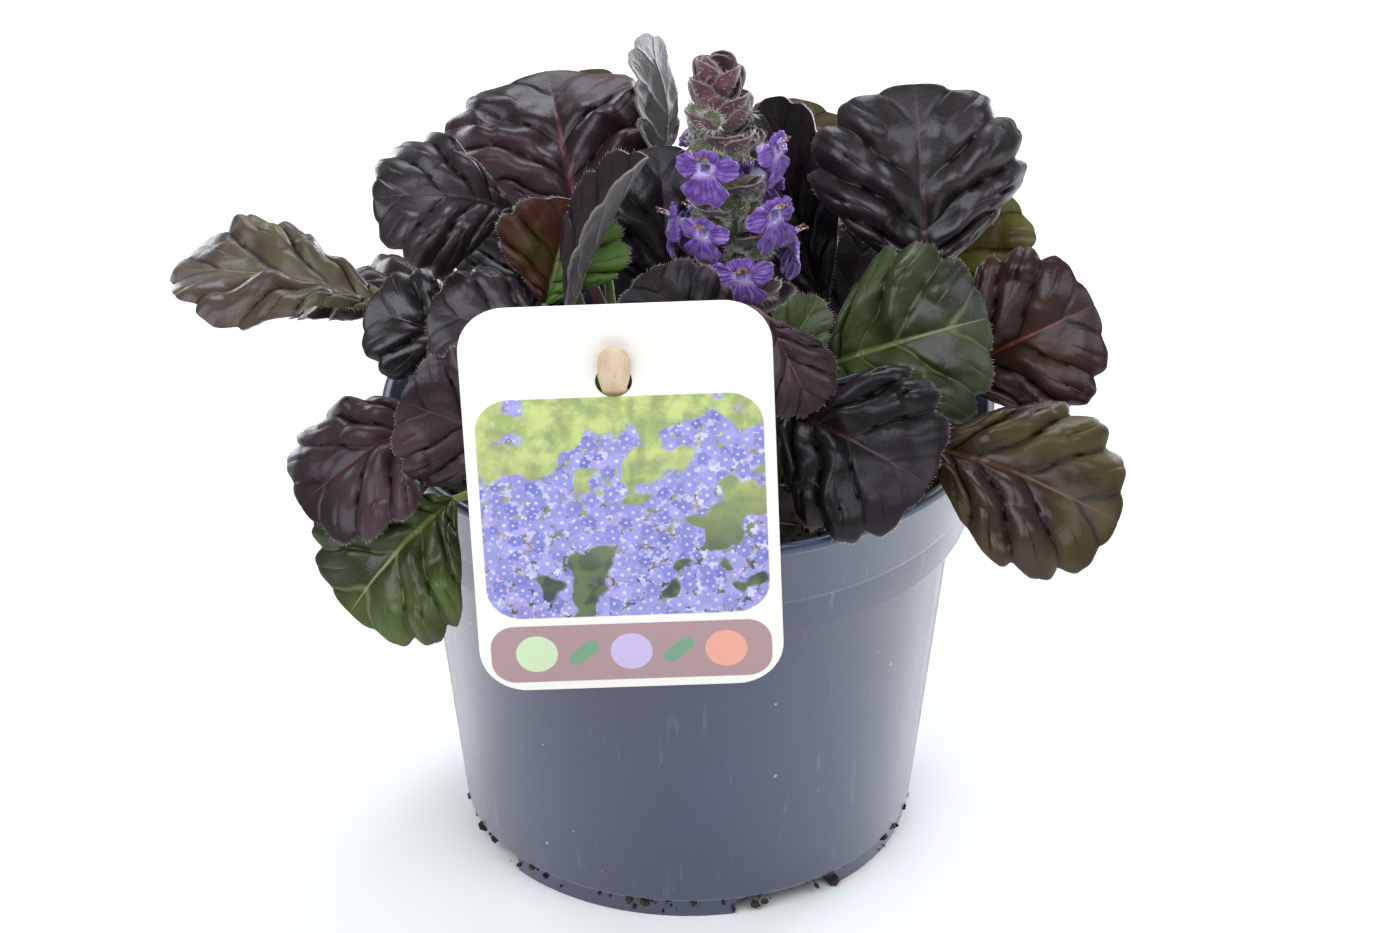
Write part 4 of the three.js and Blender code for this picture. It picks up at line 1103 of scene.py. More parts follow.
ROSETTE = (
    leaf("leaf_far_left", (-26, 6), (-63, 9, 117), (-109, 17, 121), (0, -0.1, 1), 36, 1.5,
         Tone.FADED, "leaf_olive", arch=0.06, cup=0.08, roll=0.1, flutter=0.2, phase=0.1),
    leaf("leaf_left_upper", (-20, 1), (-36.5, 4.3, 142), (-64.5, -2.7, 148), (-0.15, -0.55, 0.8), 33, 1.4,
         Tone.PURPLE_BLACK, arch=0.12, cup=-0.1, roll=0.25, flutter=0.18, phase=0.4),
    leaf("leaf_back_left_big", (-14, 12), (-23, 17, 129), (-30.5, 52, 151), (0, -0.55, 0.83), 53, 1.5,
         Tone.PLUM, arch=0.1, cup=-0.08, roll=0.15, flutter=0.08, phase=0.2),
    leaf("leaf_back_edge_on", (-5, 20), (-7, 30, 139), (-10, 36, 167), (-0.88, 0.4, 0.2), 24, 1.2,
         Tone.GREY, arch=-0.13, cup=0.1, flutter=0.14, phase=0.6, **FEW),
    leaf("leaf_young_backlit", (-16, -4), (-29.5, -8, 126.5), (-23.5, -1.5, 147), (0.2, -0.65, 0.7),
         29, 1.1, Tone.YOUNG, "leaf_olive", arch=0.02, cup=0.1, flutter=0.06, phase=0.3, **FEW),
    leaf("leaf_folded_spear", (-10, -9), (-25, -10, 126), (-8, -12, 162), (-0.92, -0.2, 0.35), 15, 1.2,
         Tone.GREY, arch=0.03, fold=0.9, flutter=0.03, **FEW),
    leaf("leaf_inner_left", (-24, -14), (-28, -18, 122), (-53, -17, 129), (0, -0.6, 0.8), 28, 1.2,
         Tone.PURPLE_BLACK, arch=0.08, cup=-0.1, roll=0.1, flutter=0.05, phase=0.5, **FEW),
    leaf("leaf_left_low", (-30, -3), (-44, -2, 112), (-67, 0, 121), (-0.3, -0.6, 0.7), 25, 1.2,
         Tone.PURPLE_BLACK, arch=0.1, cup=-0.1, roll=0.1, flutter=0.05, phase=0.1, **FEW),
    leaf("leaf_left_droop", (-30, -20), (-48, -34, 113.7), (-78, -47, 100.7), (-0.3, -0.45, 0.83),
         38, 1.4, Tone.PLUM, "leaf_olive", arch=0.12, cup=-0.12, roll=0.1, flutter=0.12, phase=0.7),
    leaf("leaf_left_front", (-30, -29), (-32, -46, 114.9), (-57, -50, 126.9), (-0.3, -0.85, 0.4), 31, 1.3,
         Tone.PLUM, arch=0.08, cup=-0.08, roll=0.1, flutter=0.05, phase=0.2),
    leaf("leaf_left_green", (-35, -37), (-47, -49, 103.5), (-68, -60, 83.5), (-0.4, -0.75, 0.5), 40, 1.4,
         Tone.GREEN, "leaf_green", arch=0.1, cup=-0.1, roll=0.05, flutter=0.06, phase=0.9),
    leaf("leaf_right_inner_tall", (20, 8), (29, 12, 113.5), (18, 26, 157.5), (-0.5, -0.8, 0.3), 26, 1.3,
         Tone.SHADED_PURPLE_BLACK, arch=0.05, cup=0.12, flutter=0.06, phase=0.3),
    leaf("leaf_right_top_big", (32, 4), (49, 3, 125), (47, 18, 164), (0.08, -0.75, 0.65), 47, 1.5,
         Tone.PURPLE_BLACK, arch=0.12, cup=-0.12, roll=0.15, flutter=0.06, phase=0.1),
    leaf("leaf_right_top_behind", (38, 12), (50.4, 17, 116), (67.4, 24, 136), (0.3, -0.6, 0.75), 29, 1.2,
         Tone.BACKLIT, "leaf_olive", arch=0.06, cup=0.08, flutter=0.06, phase=0.4, **FEW),
    leaf("leaf_right_green", (26, -9), (27, -15, 115), (61, -23, 131), (-0.1, -0.82, 0.57), 41, 1.4,
         Tone.FRESH, "leaf_green", arch=0.1, cup=-0.12, roll=0.1, flutter=0.06, phase=0.6),
    leaf("leaf_right_red_brown", (38, -2), (54, -4, 107), (84, -8, 126), (0.1, -0.8, 0.6), 38, 1.4,
         Tone.RED_BROWN, "leaf_olive", arch=0.08, cup=-0.1, roll=0.1, flutter=0.06, phase=0.8),
    leaf("leaf_right_olive_low", (36, -22), (47, -37, 110), (87, -47, 97), (0.15, -0.7, 0.7), 39, 1.5,
         Tone.OLIVE, "leaf_olive", arch=0.1, cup=-0.1, roll=0.1, flutter=0.06, phase=0.35),
    leaf("leaf_front_right", (18, -26), (18, -35, 117), (48, -56, 111), (-0.1, -0.72, 0.69), 40, 1.4,
         Tone.SHADED_PURPLE_BLACK, arch=0.12, cup=-0.12, roll=0.12, flutter=0.08, phase=0.5),
    leaf("leaf_front_small", (10, -24), (16, -38, 139), (25, -46, 122), (0.2, -0.85, 0.5), 18, 1.0,
         Tone.PLUM, arch=0.05, cup=-0.1, roll=0.05, flutter=0.02, **FEW),
    leaf("leaf_behind_card", (0, -17), (6, -24, 117), (-8.5, -18, 139), (-0.1, -0.8, 0.6), 26, 1.2,
         Tone.SHADED_PURPLE_BLACK, arch=0.04, cup=0.05, flutter=0.05, phase=0.2),
    leaf("leaf_right_small_green", (22, -18), (17, -19, 115), (27, -16, 132), (0, -0.8, 0.6), 13, 0.9,
         Tone.FRESH, "leaf_green", arch=0.05, cup=0.1, flutter=0.02, **FEW),
    leaf("leaf_front_small_green", (8, -36), (6, -44, 103), (16, -54, 104), (0, -0.6, 0.8), 12, 0.9,
         Tone.FRESH, "leaf_green", arch=0.08, flutter=0.02, phase=0.5, **FEW),
    leaf("leaf_right_edge", (44, -10), (62, -23, 103), (86, -29, 99), (0.2, -0.3, 0.95), 24, 1.2,
         Tone.SHADED_PURPLE_BLACK, arch=0.08, cup=-0.1, roll=0.05, flutter=0.05, phase=0.1, **FEW),
    leaf("leaf_back_olive", (-16, 24), (-19, 44, 124), (-21, 66, 145), (0, -0.5, 0.85), 24, 1.2,
         Tone.OLIVE, "leaf_olive", arch=0.06, cup=0.05, flutter=0.05, phase=0.3, **FEW),
    leaf("leaf_back_grey", (12, 22), (19, 30, 126), (25, 44, 148), (0.1, -0.6, 0.8), 27, 1.1,
         Tone.OLIVE, "leaf_olive", arch=0.06, cup=0.05, flutter=0.05, phase=0.6, **FEW),
    leaf("leaf_behind_spike", (3, 12), (-2.5, 9, 115), (-6, 24.5, 146.5), (-0.1, -0.75, 0.65), 33, 1.2,
         Tone.SHADED_PURPLE_BLACK, phase=0.8, **INNER),
    leaf("leaf_low_left", (-33, 12), (-33, 17, 104), (-35, 34, 124), (-0.2, -0.7, 0.7), 34, 1.2,
         Tone.SHADED_PURPLE_BLACK, phase=0.1, **INNER),
    leaf("leaf_low_right", (28, 16), (32, 14, 103), (38, 29, 124.5), (0.1, -0.7, 0.7), 28, 1.2,
         Tone.SHADED_PURPLE_BLACK, phase=0.5, **INNER),
    leaf("leaf_card_middle", (-2, -32), (0, -36, 107), (3, -60, 113), (0, -0.3, 1), 30, 1.2,
         Tone.SHADED_PURPLE_BLACK, phase=0.2, **HIDDEN),
    leaf("leaf_card_left", (-14, -25), (-18, -31, 103), (-23, -55, 105), (-0.1, -0.3, 1), 21, 1.2,
         Tone.PLUM, phase=0.4, **HIDDEN),
    leaf("leaf_back_inner", (6, 30), (7, 36, 106), (10, 56, 126), (0.05, -0.5, 0.85), 38, 1.3,
         Tone.PURPLE_BLACK, phase=0.6, **INNER),
    leaf("leaf_back_far_left", (-30, 20), (-47, 31, 108), (-84, 46, 98), (-0.25, 0.25, 0.9), 42, 1.4,
         Tone.RED_BROWN, phase=0.4, **OUTER),
    leaf("leaf_back_left", (-24, 34), (-30, 47, 111), (-54, 84, 104), (-0.15, 0.3, 0.9), 45, 1.4,
         Tone.PURPLE_BLACK, phase=0.1, **OUTER),
    leaf("leaf_back_middle", (-2, 34), (-1, 48, 111), (-3, 90, 104), (0, 0.3, 0.95), 45, 1.4,
         Tone.PLUM, phase=0.7, **OUTER),
    leaf("leaf_back_right", (20, 32), (27, 45, 112), (49, 83, 104), (0.15, 0.3, 0.9), 45, 1.4,
         Tone.RED_BROWN, phase=0.3, **OUTER),
    leaf("leaf_back_far_right", (34, 24), (51, 30, 106), (87, 44, 98), (0.25, 0.2, 0.9), 42, 1.4,
         Tone.PURPLE_BLACK, phase=0.9, **OUTER),
)


def cad_draws(seed: int) -> Iterator[float]:
    """Repeats the CAD model's own even draws, so that bracts and buds stand as they do there.

    Args:
        seed: where the run of draws starts.

    Yields:
        The draws, between 0 and 1.
    """
    factor, modulus = 16807, 2147483647
    while True:
        seed = seed * factor % modulus
        yield seed / modulus


@dataclass(frozen=True)
class Floret:
    """An open floret: its tube, lips, side lobes and stamens.

    Args:
        name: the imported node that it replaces.
        height: where it leaves the stem, in millimetres.
        around: its direction round the stem in degrees; -90 faces the front.
        rise: how far it looks up, in degrees.
        size: its scale.
    """

    name: str
    height: float
    around: float
    rise: float
    size: float

    FACE = 4.4
    CURL = 0.04
    THROAT = 1.5
    ROOT = 0.8
    STAND = 7.9
    SHEET = 0.3
    LOBES = ((-90, 6.7, 4.6, 0.13), (0, 5.0, 2.3, 0.05), (180, 5.0, 2.3, 0.05),
             (62, 2.2, 1.5, 0), (118, 2.2, 1.5, 0))
    LOBE_START = 0.9
    CLEFT_WIDTH = 0.22
    PLEATS = 5
    STAMENS = ((-0.7, 7.4), (0.7, 7.2), (-0.35, 6.3), (0.4, 6.1))
    STAMEN_FOOT = 3.4
    STAMEN_STEPS = 6
    ANTHER_RADII = (0.36, 0.46, 0.32)
    TUBE_HAIRS = 70

    def placed(self, form: Form) -> Form:
        """Scales a form and puts it on the stem."""
        place = Spike.radial(self.height, radians(self.around), radians(self.rise), self.STAND)
        return moved(form, place @ Matrix.Scale(self.size, 4))

    def tube(self) -> Form:
        """Makes the corolla's tube, hollow at its mouth.

        Returns:
            The closed form.
        """
        face, throat, root = self.FACE, self.THROAT, self.ROOT
        return turned([(0, 0), (0, root * 0.7), (0.2, root), (face * 0.5, 1.0), (face + 0.15, throat),
                       (face + 0.1, throat - 0.2), (face * 0.55, 0.75), (1.6, 0.5), (1.5, 0)], 20)

    def petal(self, toward: float, reach: float, half: float, cleft: float) -> Form:
        """Makes one lobe of the corolla.

        Args:
            toward: the way it points in the flower's face, in degrees; -90 hangs down.
            reach: length of the lobe, in millimetres.
            half: half its greatest width.
            cleft: depth of the notch in its end, as a share of the length.

        Returns:
            The lobe as a closed form.
        """
        turn = radians(toward)

        def place(u: float, v: float) -> Vector:
            """Finds a point of the lobe.

            Args:
                u: share of its length.
                v: share of its width.

            Returns:
                The point, in millimetres.
            """
            s = 2 * v - 1
            notch = cleft * exp(-((s / self.CLEFT_WIDTH) ** 2))
            end = sqrt(1 - (0.86 * abs(s)) ** 3) - notch
            out = self.LOBE_START + reach * u * between(1, end, u)
            width = half * between(0.42, 1.0, smooth(0, 0.72, u)) * (1 - 0.12 * smooth(0.75, 1, u))
            side = s * width
            y = out * cos(turn) - side * sin(turn)
            z = out * sin(turn) + side * cos(turn)
            pleat = 0.26 * cos(self.PLEATS * pi * s) * smooth(0, 0.4, u)
            pleat += 0.3 * sin(pi * u)
            ripple = 0.55 * noise.noise(Vector((y / 1.7, z / 1.7, self.height)))
            return Vector((self.FACE + pleat + ripple - self.CURL * out ** 2, y, z))

        return thicken(formed_sheet(18, 14, place), self.SHEET)

    def stamen(self, side: float, out: float) -> list[Vector]:
        """Bends one stamen out of the throat.

        Args:
            side: how far it leans to the side, in millimetres.
            out: how far its tip stands out.

        Returns:
            Its centreline, in millimetres.
        """
        shares = [at / self.STAMEN_STEPS for at in range(self.STAMEN_STEPS + 1)]
        return [Vector((between(self.STAMEN_FOOT, out, share), side * (0.6 + 0.4 * share),
                        0.5 + 1.5 * sin(0.5 * pi * share))) for share in shares]

    def build(self, draw: random.Random) -> None:
        """Builds the floret as one piece.

        Args:
            draw: the seeded draws for its hairs.
        """
        piece = Piece(self.name, "floret")
        petal, throat = PetalFinish().build(), PALE_PETAL.build()
        piece.join(self.placed(self.tube()), throat)
        for lobe in self.LOBES:
            piece.join(self.placed(self.petal(*lobe)), petal, petal, petal)
        for side, out in self.STAMENS:
            path = self.stamen(side, out)
            piece.join(self.placed(tube(path, lambda t: 0.17, 6)), throat)
            piece.join(self.placed(ball(self.ANTHER_RADII, path[-1])), ANTHER.build())
        roots = []
        for _ in range(self.TUBE_HAIRS):
            turn, run = draw.uniform(0, tau), draw.uniform(0.5, 4.2)
            out = Vector((0.25, cos(turn), sin(turn)))
            roots.append((Vector((run, *(out.yz * between(self.ROOT, self.THROAT, run / 4.6)))), out))
        piece.join(self.placed(hairs(roots, draw, (0.5, 1.1), 0.05)), WOOL.build())
        piece.done(sharp=60)


def turned(profile: Sequence[Pair], sides: int, teeth: int = 0, tooth: float = 0.0,
           ribs: float = 0.0) -> Form:
    """Makes a round form about +X.

    Args:
        profile: places along the axis with their radii, in millimetres; it starts and ends at radius 0.
        sides: faces round the axis.
        teeth: points round the mouth.
        tooth: how far they stand out.
        ribs: how far the teeth run down the side as ribs, as a share of the radius.

    Returns:
        The closed form.
    """
    runs, steps = len(profile) - 1, 3
    mouth = max(x for x, _ in profile)

    def place(u: float, v: float) -> Vector:
        """Finds a point of the skin.

        Args:
            u: share of the profile.
            v: share of the turn.

        Returns:
            The point, in millimetres.
        """
        at = min(int(u * runs + 1e-9), runs - 1)
        share = u * runs - at
        x = between(profile[at][0], profile[at + 1][0], share)
        radius = between(profile[at][1], profile[at + 1][1], share)
        if teeth:
            point = abs(cos(teeth * pi * v)) ** 1.5
            x += tooth * (point - 0.35) * smooth(0.5, 1, x / mouth)
            radius *= 1 + ribs * (point - 0.5)
        turn = tau * v
        return Vector((x, radius * cos(turn), radius * sin(turn)))

    return outward(formed_sheet(runs * steps, sides, place))


@dataclass(frozen=True)
class Spike:
    """The flower stem with its bracts, woolly calyces and closed buds, as one piece.

    Args:
        florets: the open florets that stand in its calyces.
    """

    florets: tuple[Floret, ...]

    FOOT = Vector((14, -4, 84))
    TIP = Vector((5.6, 2, 171))
    LEAN = 1.2
    SEED = 7
    RADIUS = 2.1
    TAPER = 0.4
    STEM_STEPS = 30
    WOOLLY_FROM = 112
    STEM_HAIRS = 700
    PAIRS = 13
    HEIGHTS = (121.0, 169.5)
    CROWDING = 1.6
    JITTER = 0.3
    BRACT_LENGTH = (12.5, 8.2)
    BRACT_WIDTH = (9.0, 7.4)
    BRACT_RISE = (0.15, 1.15)
    BRACT_SHEET = 0.45
    SHORTER = 0.8
    BRACT_HAIRS = 80
    BACK_HAIRS = 45
    BUD_PAIRS = 9
    HEAD = (155.0, 170.0)
    HEAD_BRACTS = 13
    HEAD_SHARES = (0.6, 1.1)
    GOLDEN = 2.4
    CROWN_BUDS = 3
    CROWN_RADII = (1.4, 1.4, 3.4)
    SPREAD = 0.6
    LIFT = 2.6
    CALYX_STAND = 0.6
    CALYX_SIDES = 20
    CALYX_TEETH = 5
    CALYX_HAIRS = 210
    CLOSED = ((0, 0), (0, 0.9), (0.4, 1.2), (2.4, 1.9), (4.4, 2.0), (5.8, 1.3), (6.6, 0.4), (6.7, 0))
    OPEN = ((0, 0), (0, 0.9), (0.4, 1.2), (3, 1.75), (6.2, 2.3), (6.5, 2.2), (5, 1.7), (3.4, 0))

    @classmethod
    def centre(cls, height: float) -> Vector:
        """Finds the middle of the stem.

        Args:
            height: above the table, in millimetres.

        Returns:
            The middle, in millimetres.
        """
        share = (height - cls.FOOT.z) / (cls.TIP.z - cls.FOOT.z)
        x = between(cls.FOOT.x, cls.TIP.x, max(0.0, share) ** cls.LEAN)
        return Vector((x, between(cls.FOOT.y, cls.TIP.y, share), height))

    @classmethod
    def radial(cls, height: float, angle: float, rise: float, stand: float) -> Matrix:
        """Works out where a form that points along +X goes, to stand out of the stem.

        Args:
            height: above the table, in millimetres.
            angle: round the stem, in radians.
            rise: how far it looks up, in radians.
            stand: how far it stands off the middle, in millimetres.

        Returns:
            Its place, in metres.
        """
        place = Matrix.Translation(cls.centre(height) * MM)
        turn = Matrix.Rotation(angle, 4, "Z") @ Matrix.Rotation(-rise, 4, "Y")
        return place @ turn @ Matrix.Translation((stand * MM, 0, 0))

    def near_floret(self, height: float, angle: float) -> bool:
        """True where an open floret stands, so that bracts stay short and no bud grows."""
        return any(abs(height - floret.height) < 6.5 and cos(angle - radians(floret.around)) > 0.75
                   for floret in self.florets)

    def build(self, draw: random.Random) -> None:
        """Builds the whole spike.

        Args:
            draw: the seeded draws for its hairs.
        """
        piece = Piece("flower_spike", "spike")
        self.stem(piece, draw)
        even = cad_draws(self.SEED)
        for pair in range(self.PAIRS):
            share = pair / (self.PAIRS - 1)
            height = between(*self.HEIGHTS, 1 - (1 - share) ** self.CROWDING)
            turn = pi / 4 + (pair % 2) * pi / 2
            for side in (0, pi):
                angle = turn + side + self.JITTER * (next(even) - 0.5)
                self.bract(piece, height, angle, share, draw)
                for spread in (-self.SPREAD, self.SPREAD):
                    bud = height + self.LIFT + next(even)
                    if pair < self.BUD_PAIRS and not self.near_floret(bud, angle + spread):
                        place = self.radial(bud, angle + spread, 0.3, self.CALYX_STAND)
                        self.calyx(piece, place, draw, True)
        for at in range(self.HEAD_BRACTS):
            share = at / (self.HEAD_BRACTS - 1)
            height, closed = between(*self.HEAD, share), between(*self.HEAD_SHARES, share)
            self.bract(piece, height, self.GOLDEN * at, closed, draw)
        self.crown(piece)
        for floret in self.florets:
            turns = radians(floret.around), radians(floret.rise)
            self.calyx(piece, self.radial(floret.height, *turns, self.CALYX_STAND), draw, False)
        piece.done(sharp=60)

    def crown(self, piece: Piece) -> None:
        """Fills the middle of the head with closed buds.

        Args:
            piece: the spike in the making.
        """
        for at in range(self.CROWN_BUDS):
            place = self.radial(self.TIP.z + 0.8, tau * at / self.CROWN_BUDS, 0, 0.9)
            piece.join(moved(ball(self.CROWN_RADII), place), BRACT_RIM.build())

    def stem(self, piece: Piece, draw: random.Random) -> None:
        """Adds the square stem, hairy where the flowers are.

        Args:
            piece: the spike in the making.
            draw: the seeded draws for its hairs.
        """
        path = [self.centre(between(self.FOOT.z, self.TIP.z, at / self.STEM_STEPS))
                for at in range(self.STEM_STEPS + 1)]
        piece.join(tube(path, lambda t: 0.8 * self.RADIUS * (1 - self.TAPER * t), 16, power=4), STEM.build())
        roots = []
        for _ in range(self.STEM_HAIRS):
            height, turn = draw.uniform(self.WOOLLY_FROM, self.TIP.z - 1), draw.uniform(0, tau)
            out = Vector((cos(turn), sin(turn), 0.2))
            roots.append((self.centre(height) + 1.1 * out, out))
        piece.join(hairs(roots, draw, (1.0, 2.8), 0.05), WOOL.build())

    def bract(self, piece: Piece, height: float, angle: float, share: float, draw: random.Random) -> None:
        """Adds a cupped bract with pale hairs on its margin.

        Args:
            piece: the spike in the making.
            height: where it leaves the stem, in millimetres.
            angle: its direction round the stem, in radians.
            share: 0 for a large, level bract and 1 for a small, upright one.
            draw: the seeded draws for its hairs.
        """
        shorter = self.SHORTER if self.near_floret(height + 4, angle) else 1.0
        reach = between(*self.BRACT_LENGTH, share) * shorter
        blade = Blade((0, 0, 0), (reach, 0, 0), (0, 0, 1), between(*self.BRACT_WIDTH, share),
                      veins=BRACT_VEINS, arch=-0.18, cup=0.5, phase=0.1 * share, notch=0.05, pucker=0.04)
        place = self.radial(height, angle, between(*self.BRACT_RISE, share ** 1.5), 0.8)
        upper, under = (LOW_BRACT, LOW_BRACT) if height < self.HEAD[0] else (BRACT, BRACT_BACK)
        piece.join(moved(thicken(blade.sheet(22, 14), self.BRACT_SHEET), place),
                   upper.build(), under.build(), BRACT_RIM.build())
        back = [(blade.point(draw.uniform(0.1, 0.95), draw.uniform(-0.9, 0.9)) - Vector((0, 0, 0.2)),
                 Vector((0.7, 0, -1))) for _ in range(self.BACK_HAIRS)]
        down = hairs(blade.margin(self.BRACT_HAIRS) + back, draw, (0.5, 1.3), 0.045)
        piece.join(moved(down, place), WOOL.build())

    def calyx(self, piece: Piece, place: Matrix, draw: random.Random, closed: bool) -> None:
        """Adds a toothed, woolly calyx.

        Args:
            piece: the spike in the making.
            place: its place, in metres.
            draw: the seeded draws for its hairs.
            closed: True where it still closes over a bud.
        """
        profile, teeth = (self.CLOSED, (0.3, 0.12)) if closed else (self.OPEN, (1.6, 0.0))
        piece.join(moved(turned(profile, self.CALYX_SIDES, self.CALYX_TEETH, *teeth), place), CALYX.build())
        roots = []
        for _ in range(self.CALYX_HAIRS):
            turn, run = draw.uniform(0, tau), 7.0 * draw.random() ** 0.6
            out = Vector((0.5, cos(turn), sin(turn)))
            roots.append((Vector((run, *(out.yz * between(1.1, 2.0, min(1, run / 4))))), out))
        piece.join(moved(hairs(roots, draw, (0.9, 2.5), 0.055, 0.6), place), WOOL.build())


@dataclass(frozen=True)
class Pot:
    """The moulded pot: its shell with the stepped collar, boss, foot notches and drain holes.

    Args:
        segments: faces round the pot.
        fillet: how far its edges are rounded, in millimetres.
    """

    segments: int = 144
    fillet: float = 0.35

    OUTLINE = ((0, 0), (12, 0), (12, 4), (44.7, 4), (44.7, 0), (47.7, 0), (47.7, 4), (48.8, 4.8),
               (56.6, 75.6), (59.9, 76), (60.9, 84.2), (61.4, 84.7), (64.1, 97.6), (65, 98.1), (64.6, 100),
               (63, 100), (58.5, 77), (55.2, 74.6), (47.4, 5.6), (0, 5.6))
    BOSS_REACH = 13
    SHARP_TURN = radians(20)
    NOTCHES = 4
    NOTCH = (12.0, 23.0, 3.6)
    NOTCH_CORNER = 0.9
    FIRST_NOTCH = -64.0
    FOOT_RADIUS = 47.7
    HOLES = 6
    HOLE_RADIUS = 4.0
    HOLE_CIRCLE = 32.0
    HOLE_DEPTH = 12
    CRUMBS = 520
    CRUMB_SIZES = (0.22, 1.3)
    ON_STEP = 0.55

    def shell(self) -> Form:
        """Spins the outline once round and rounds the turns of its edges.

        Returns:
            The closed shell.
        """
        form = bmesh.new()
        verts = [form.verts.new(Vector((radius, 0, height)) * MM) for radius, height in self.OUTLINE]
        edges = [form.edges.new(pair) for pair in zip(verts, verts[1:])]
        bmesh.ops.spin(form, geom=verts + edges, axis=(0, 0, 1), cent=(0, 0, 0), angle=tau,
                       steps=self.segments, use_merge=True)
        bmesh.ops.remove_doubles(form, verts=form.verts, dist=MERGE)
        turns = [edge for edge in outward(form).edges if len(edge.link_faces) == 2
                 and edge.calc_face_angle() > self.SHARP_TURN
                 and edge.verts[0].co.xy.length > self.BOSS_REACH * MM]
        bmesh.ops.bevel(form, geom=turns, offset=self.fillet * MM, segments=2, profile=0.5,
                        affect="EDGES", material=-1, clamp_overlap=True)
        return form

    def cutters(self) -> list[Form]:
        """Makes what is cut out of the pot.

        Returns:
            The notches of the foot ring and the drain holes, as solids.
        """
        cuts = []
        for at in range(self.NOTCHES):
            depth, width, height = self.NOTCH
            cut = bmesh.new()
            bmesh.ops.create_cube(cut, size=1)
            bmesh.ops.scale(cut, vec=Vector((depth, width, 2 * height)) * MM, verts=cut.verts)
            rims = [edge for edge in cut.edges if abs(edge.verts[0].co.y - edge.verts[1].co.y) < MERGE
                    and abs(edge.verts[0].co.z - edge.verts[1].co.z) < MERGE and edge.verts[0].co.z > 0]
            bmesh.ops.bevel(cut, geom=rims, offset=self.NOTCH_CORNER * MM, segments=3, profile=0.5,
                            affect="EDGES", material=-1)
            bmesh.ops.translate(cut, vec=(self.FOOT_RADIUS * MM, 0, 0), verts=cut.verts)
            turn = radians(self.FIRST_NOTCH + 360 * at / self.NOTCHES)
            cuts.append(moved(cut, Matrix.Rotation(turn, 4, "Z")))
        for at in range(self.HOLES):
            cut = bmesh.new()
            bmesh.ops.create_cone(cut, cap_ends=True, segments=32, radius1=self.HOLE_RADIUS * MM,
                                  radius2=self.HOLE_RADIUS * MM, depth=self.HOLE_DEPTH * MM)
            bmesh.ops.translate(cut, vec=(self.HOLE_CIRCLE * MM, 0, 5 * MM), verts=cut.verts)
            cuts.append(moved(cut, Matrix.Rotation(tau * at / self.HOLES, 4, "Z")))
        return cuts

    def crumbs(self, draw: random.Random) -> list[Matrix]:
        """Lets crumbs of soil cling along the foot and the step above it.

        Args:
            draw: the seeded draws.

        Returns:
            A place for each crumb, in metres, none lower than the table.
        """
        places = []
        for _ in range(self.CRUMBS):
            angle = draw.uniform(0, tau)
            clump = 0.5 + 0.5 * noise.noise(Vector((3 * cos(angle), 3 * sin(angle), 4)))
            if draw.random() > clump ** 1.5:
                continue
            on_step = draw.random() < self.ON_STEP
            radius, height = (48.0, draw.gauss(3.9, 0.5)) if on_step else (47.8, draw.uniform(0.2, 3.4))
            spot = Vector((radius * cos(angle), radius * sin(angle), max(0.3, height)))
            place = crumb_place(spot, draw, *self.CRUMB_SIZES)
            reach_down = Vector(place[2][:3]).length
            place[2][3] = max(place[2][3], reach_down)
            places.append(place)
        return places

    def build(self, draw: random.Random) -> None:
        """Builds the pot with its crumbs of soil.

        Args:
            draw: the seeded draws.
        """
        piece = Piece("pot", "pot")
        piece.join(cut_away(self.shell(), self.cutters()), PotFinish().build())
        piece.join(scattered(grain_form(), self.crumbs(draw)), PEAT.build())
        piece.done(sharp=35)


def grain_form() -> Form:
    """Makes a crumb of unit radius.

    Returns:
        The closed form.
    """
    form = bmesh.new()
    bmesh.ops.create_icosphere(form, subdivisions=1, radius=1.0)
    form.loops.layers.uv.new("UVMap")
    return form


def crumb_place(spot: Vector, draw: random.Random, small: float, large: float) -> Matrix:
    """Turns and stretches a crumb.

    Args:
        spot: where its middle is, in millimetres.
        draw: the seeded draws.
        small: the smallest radius, in millimetres.
        large: the largest.

    Returns:
        Its place, in metres.
    """
    turn = upright(Vector([draw.gauss(0, 1) for _ in range(3)]))
    size = between(small, large, draw.random() ** 2.5)
    stretch = [size * draw.uniform(0.6, 1.3) * MM for _ in range(3)]
    return Matrix.Translation(spot * MM) @ turn @ Matrix.Diagonal((*stretch, 1))


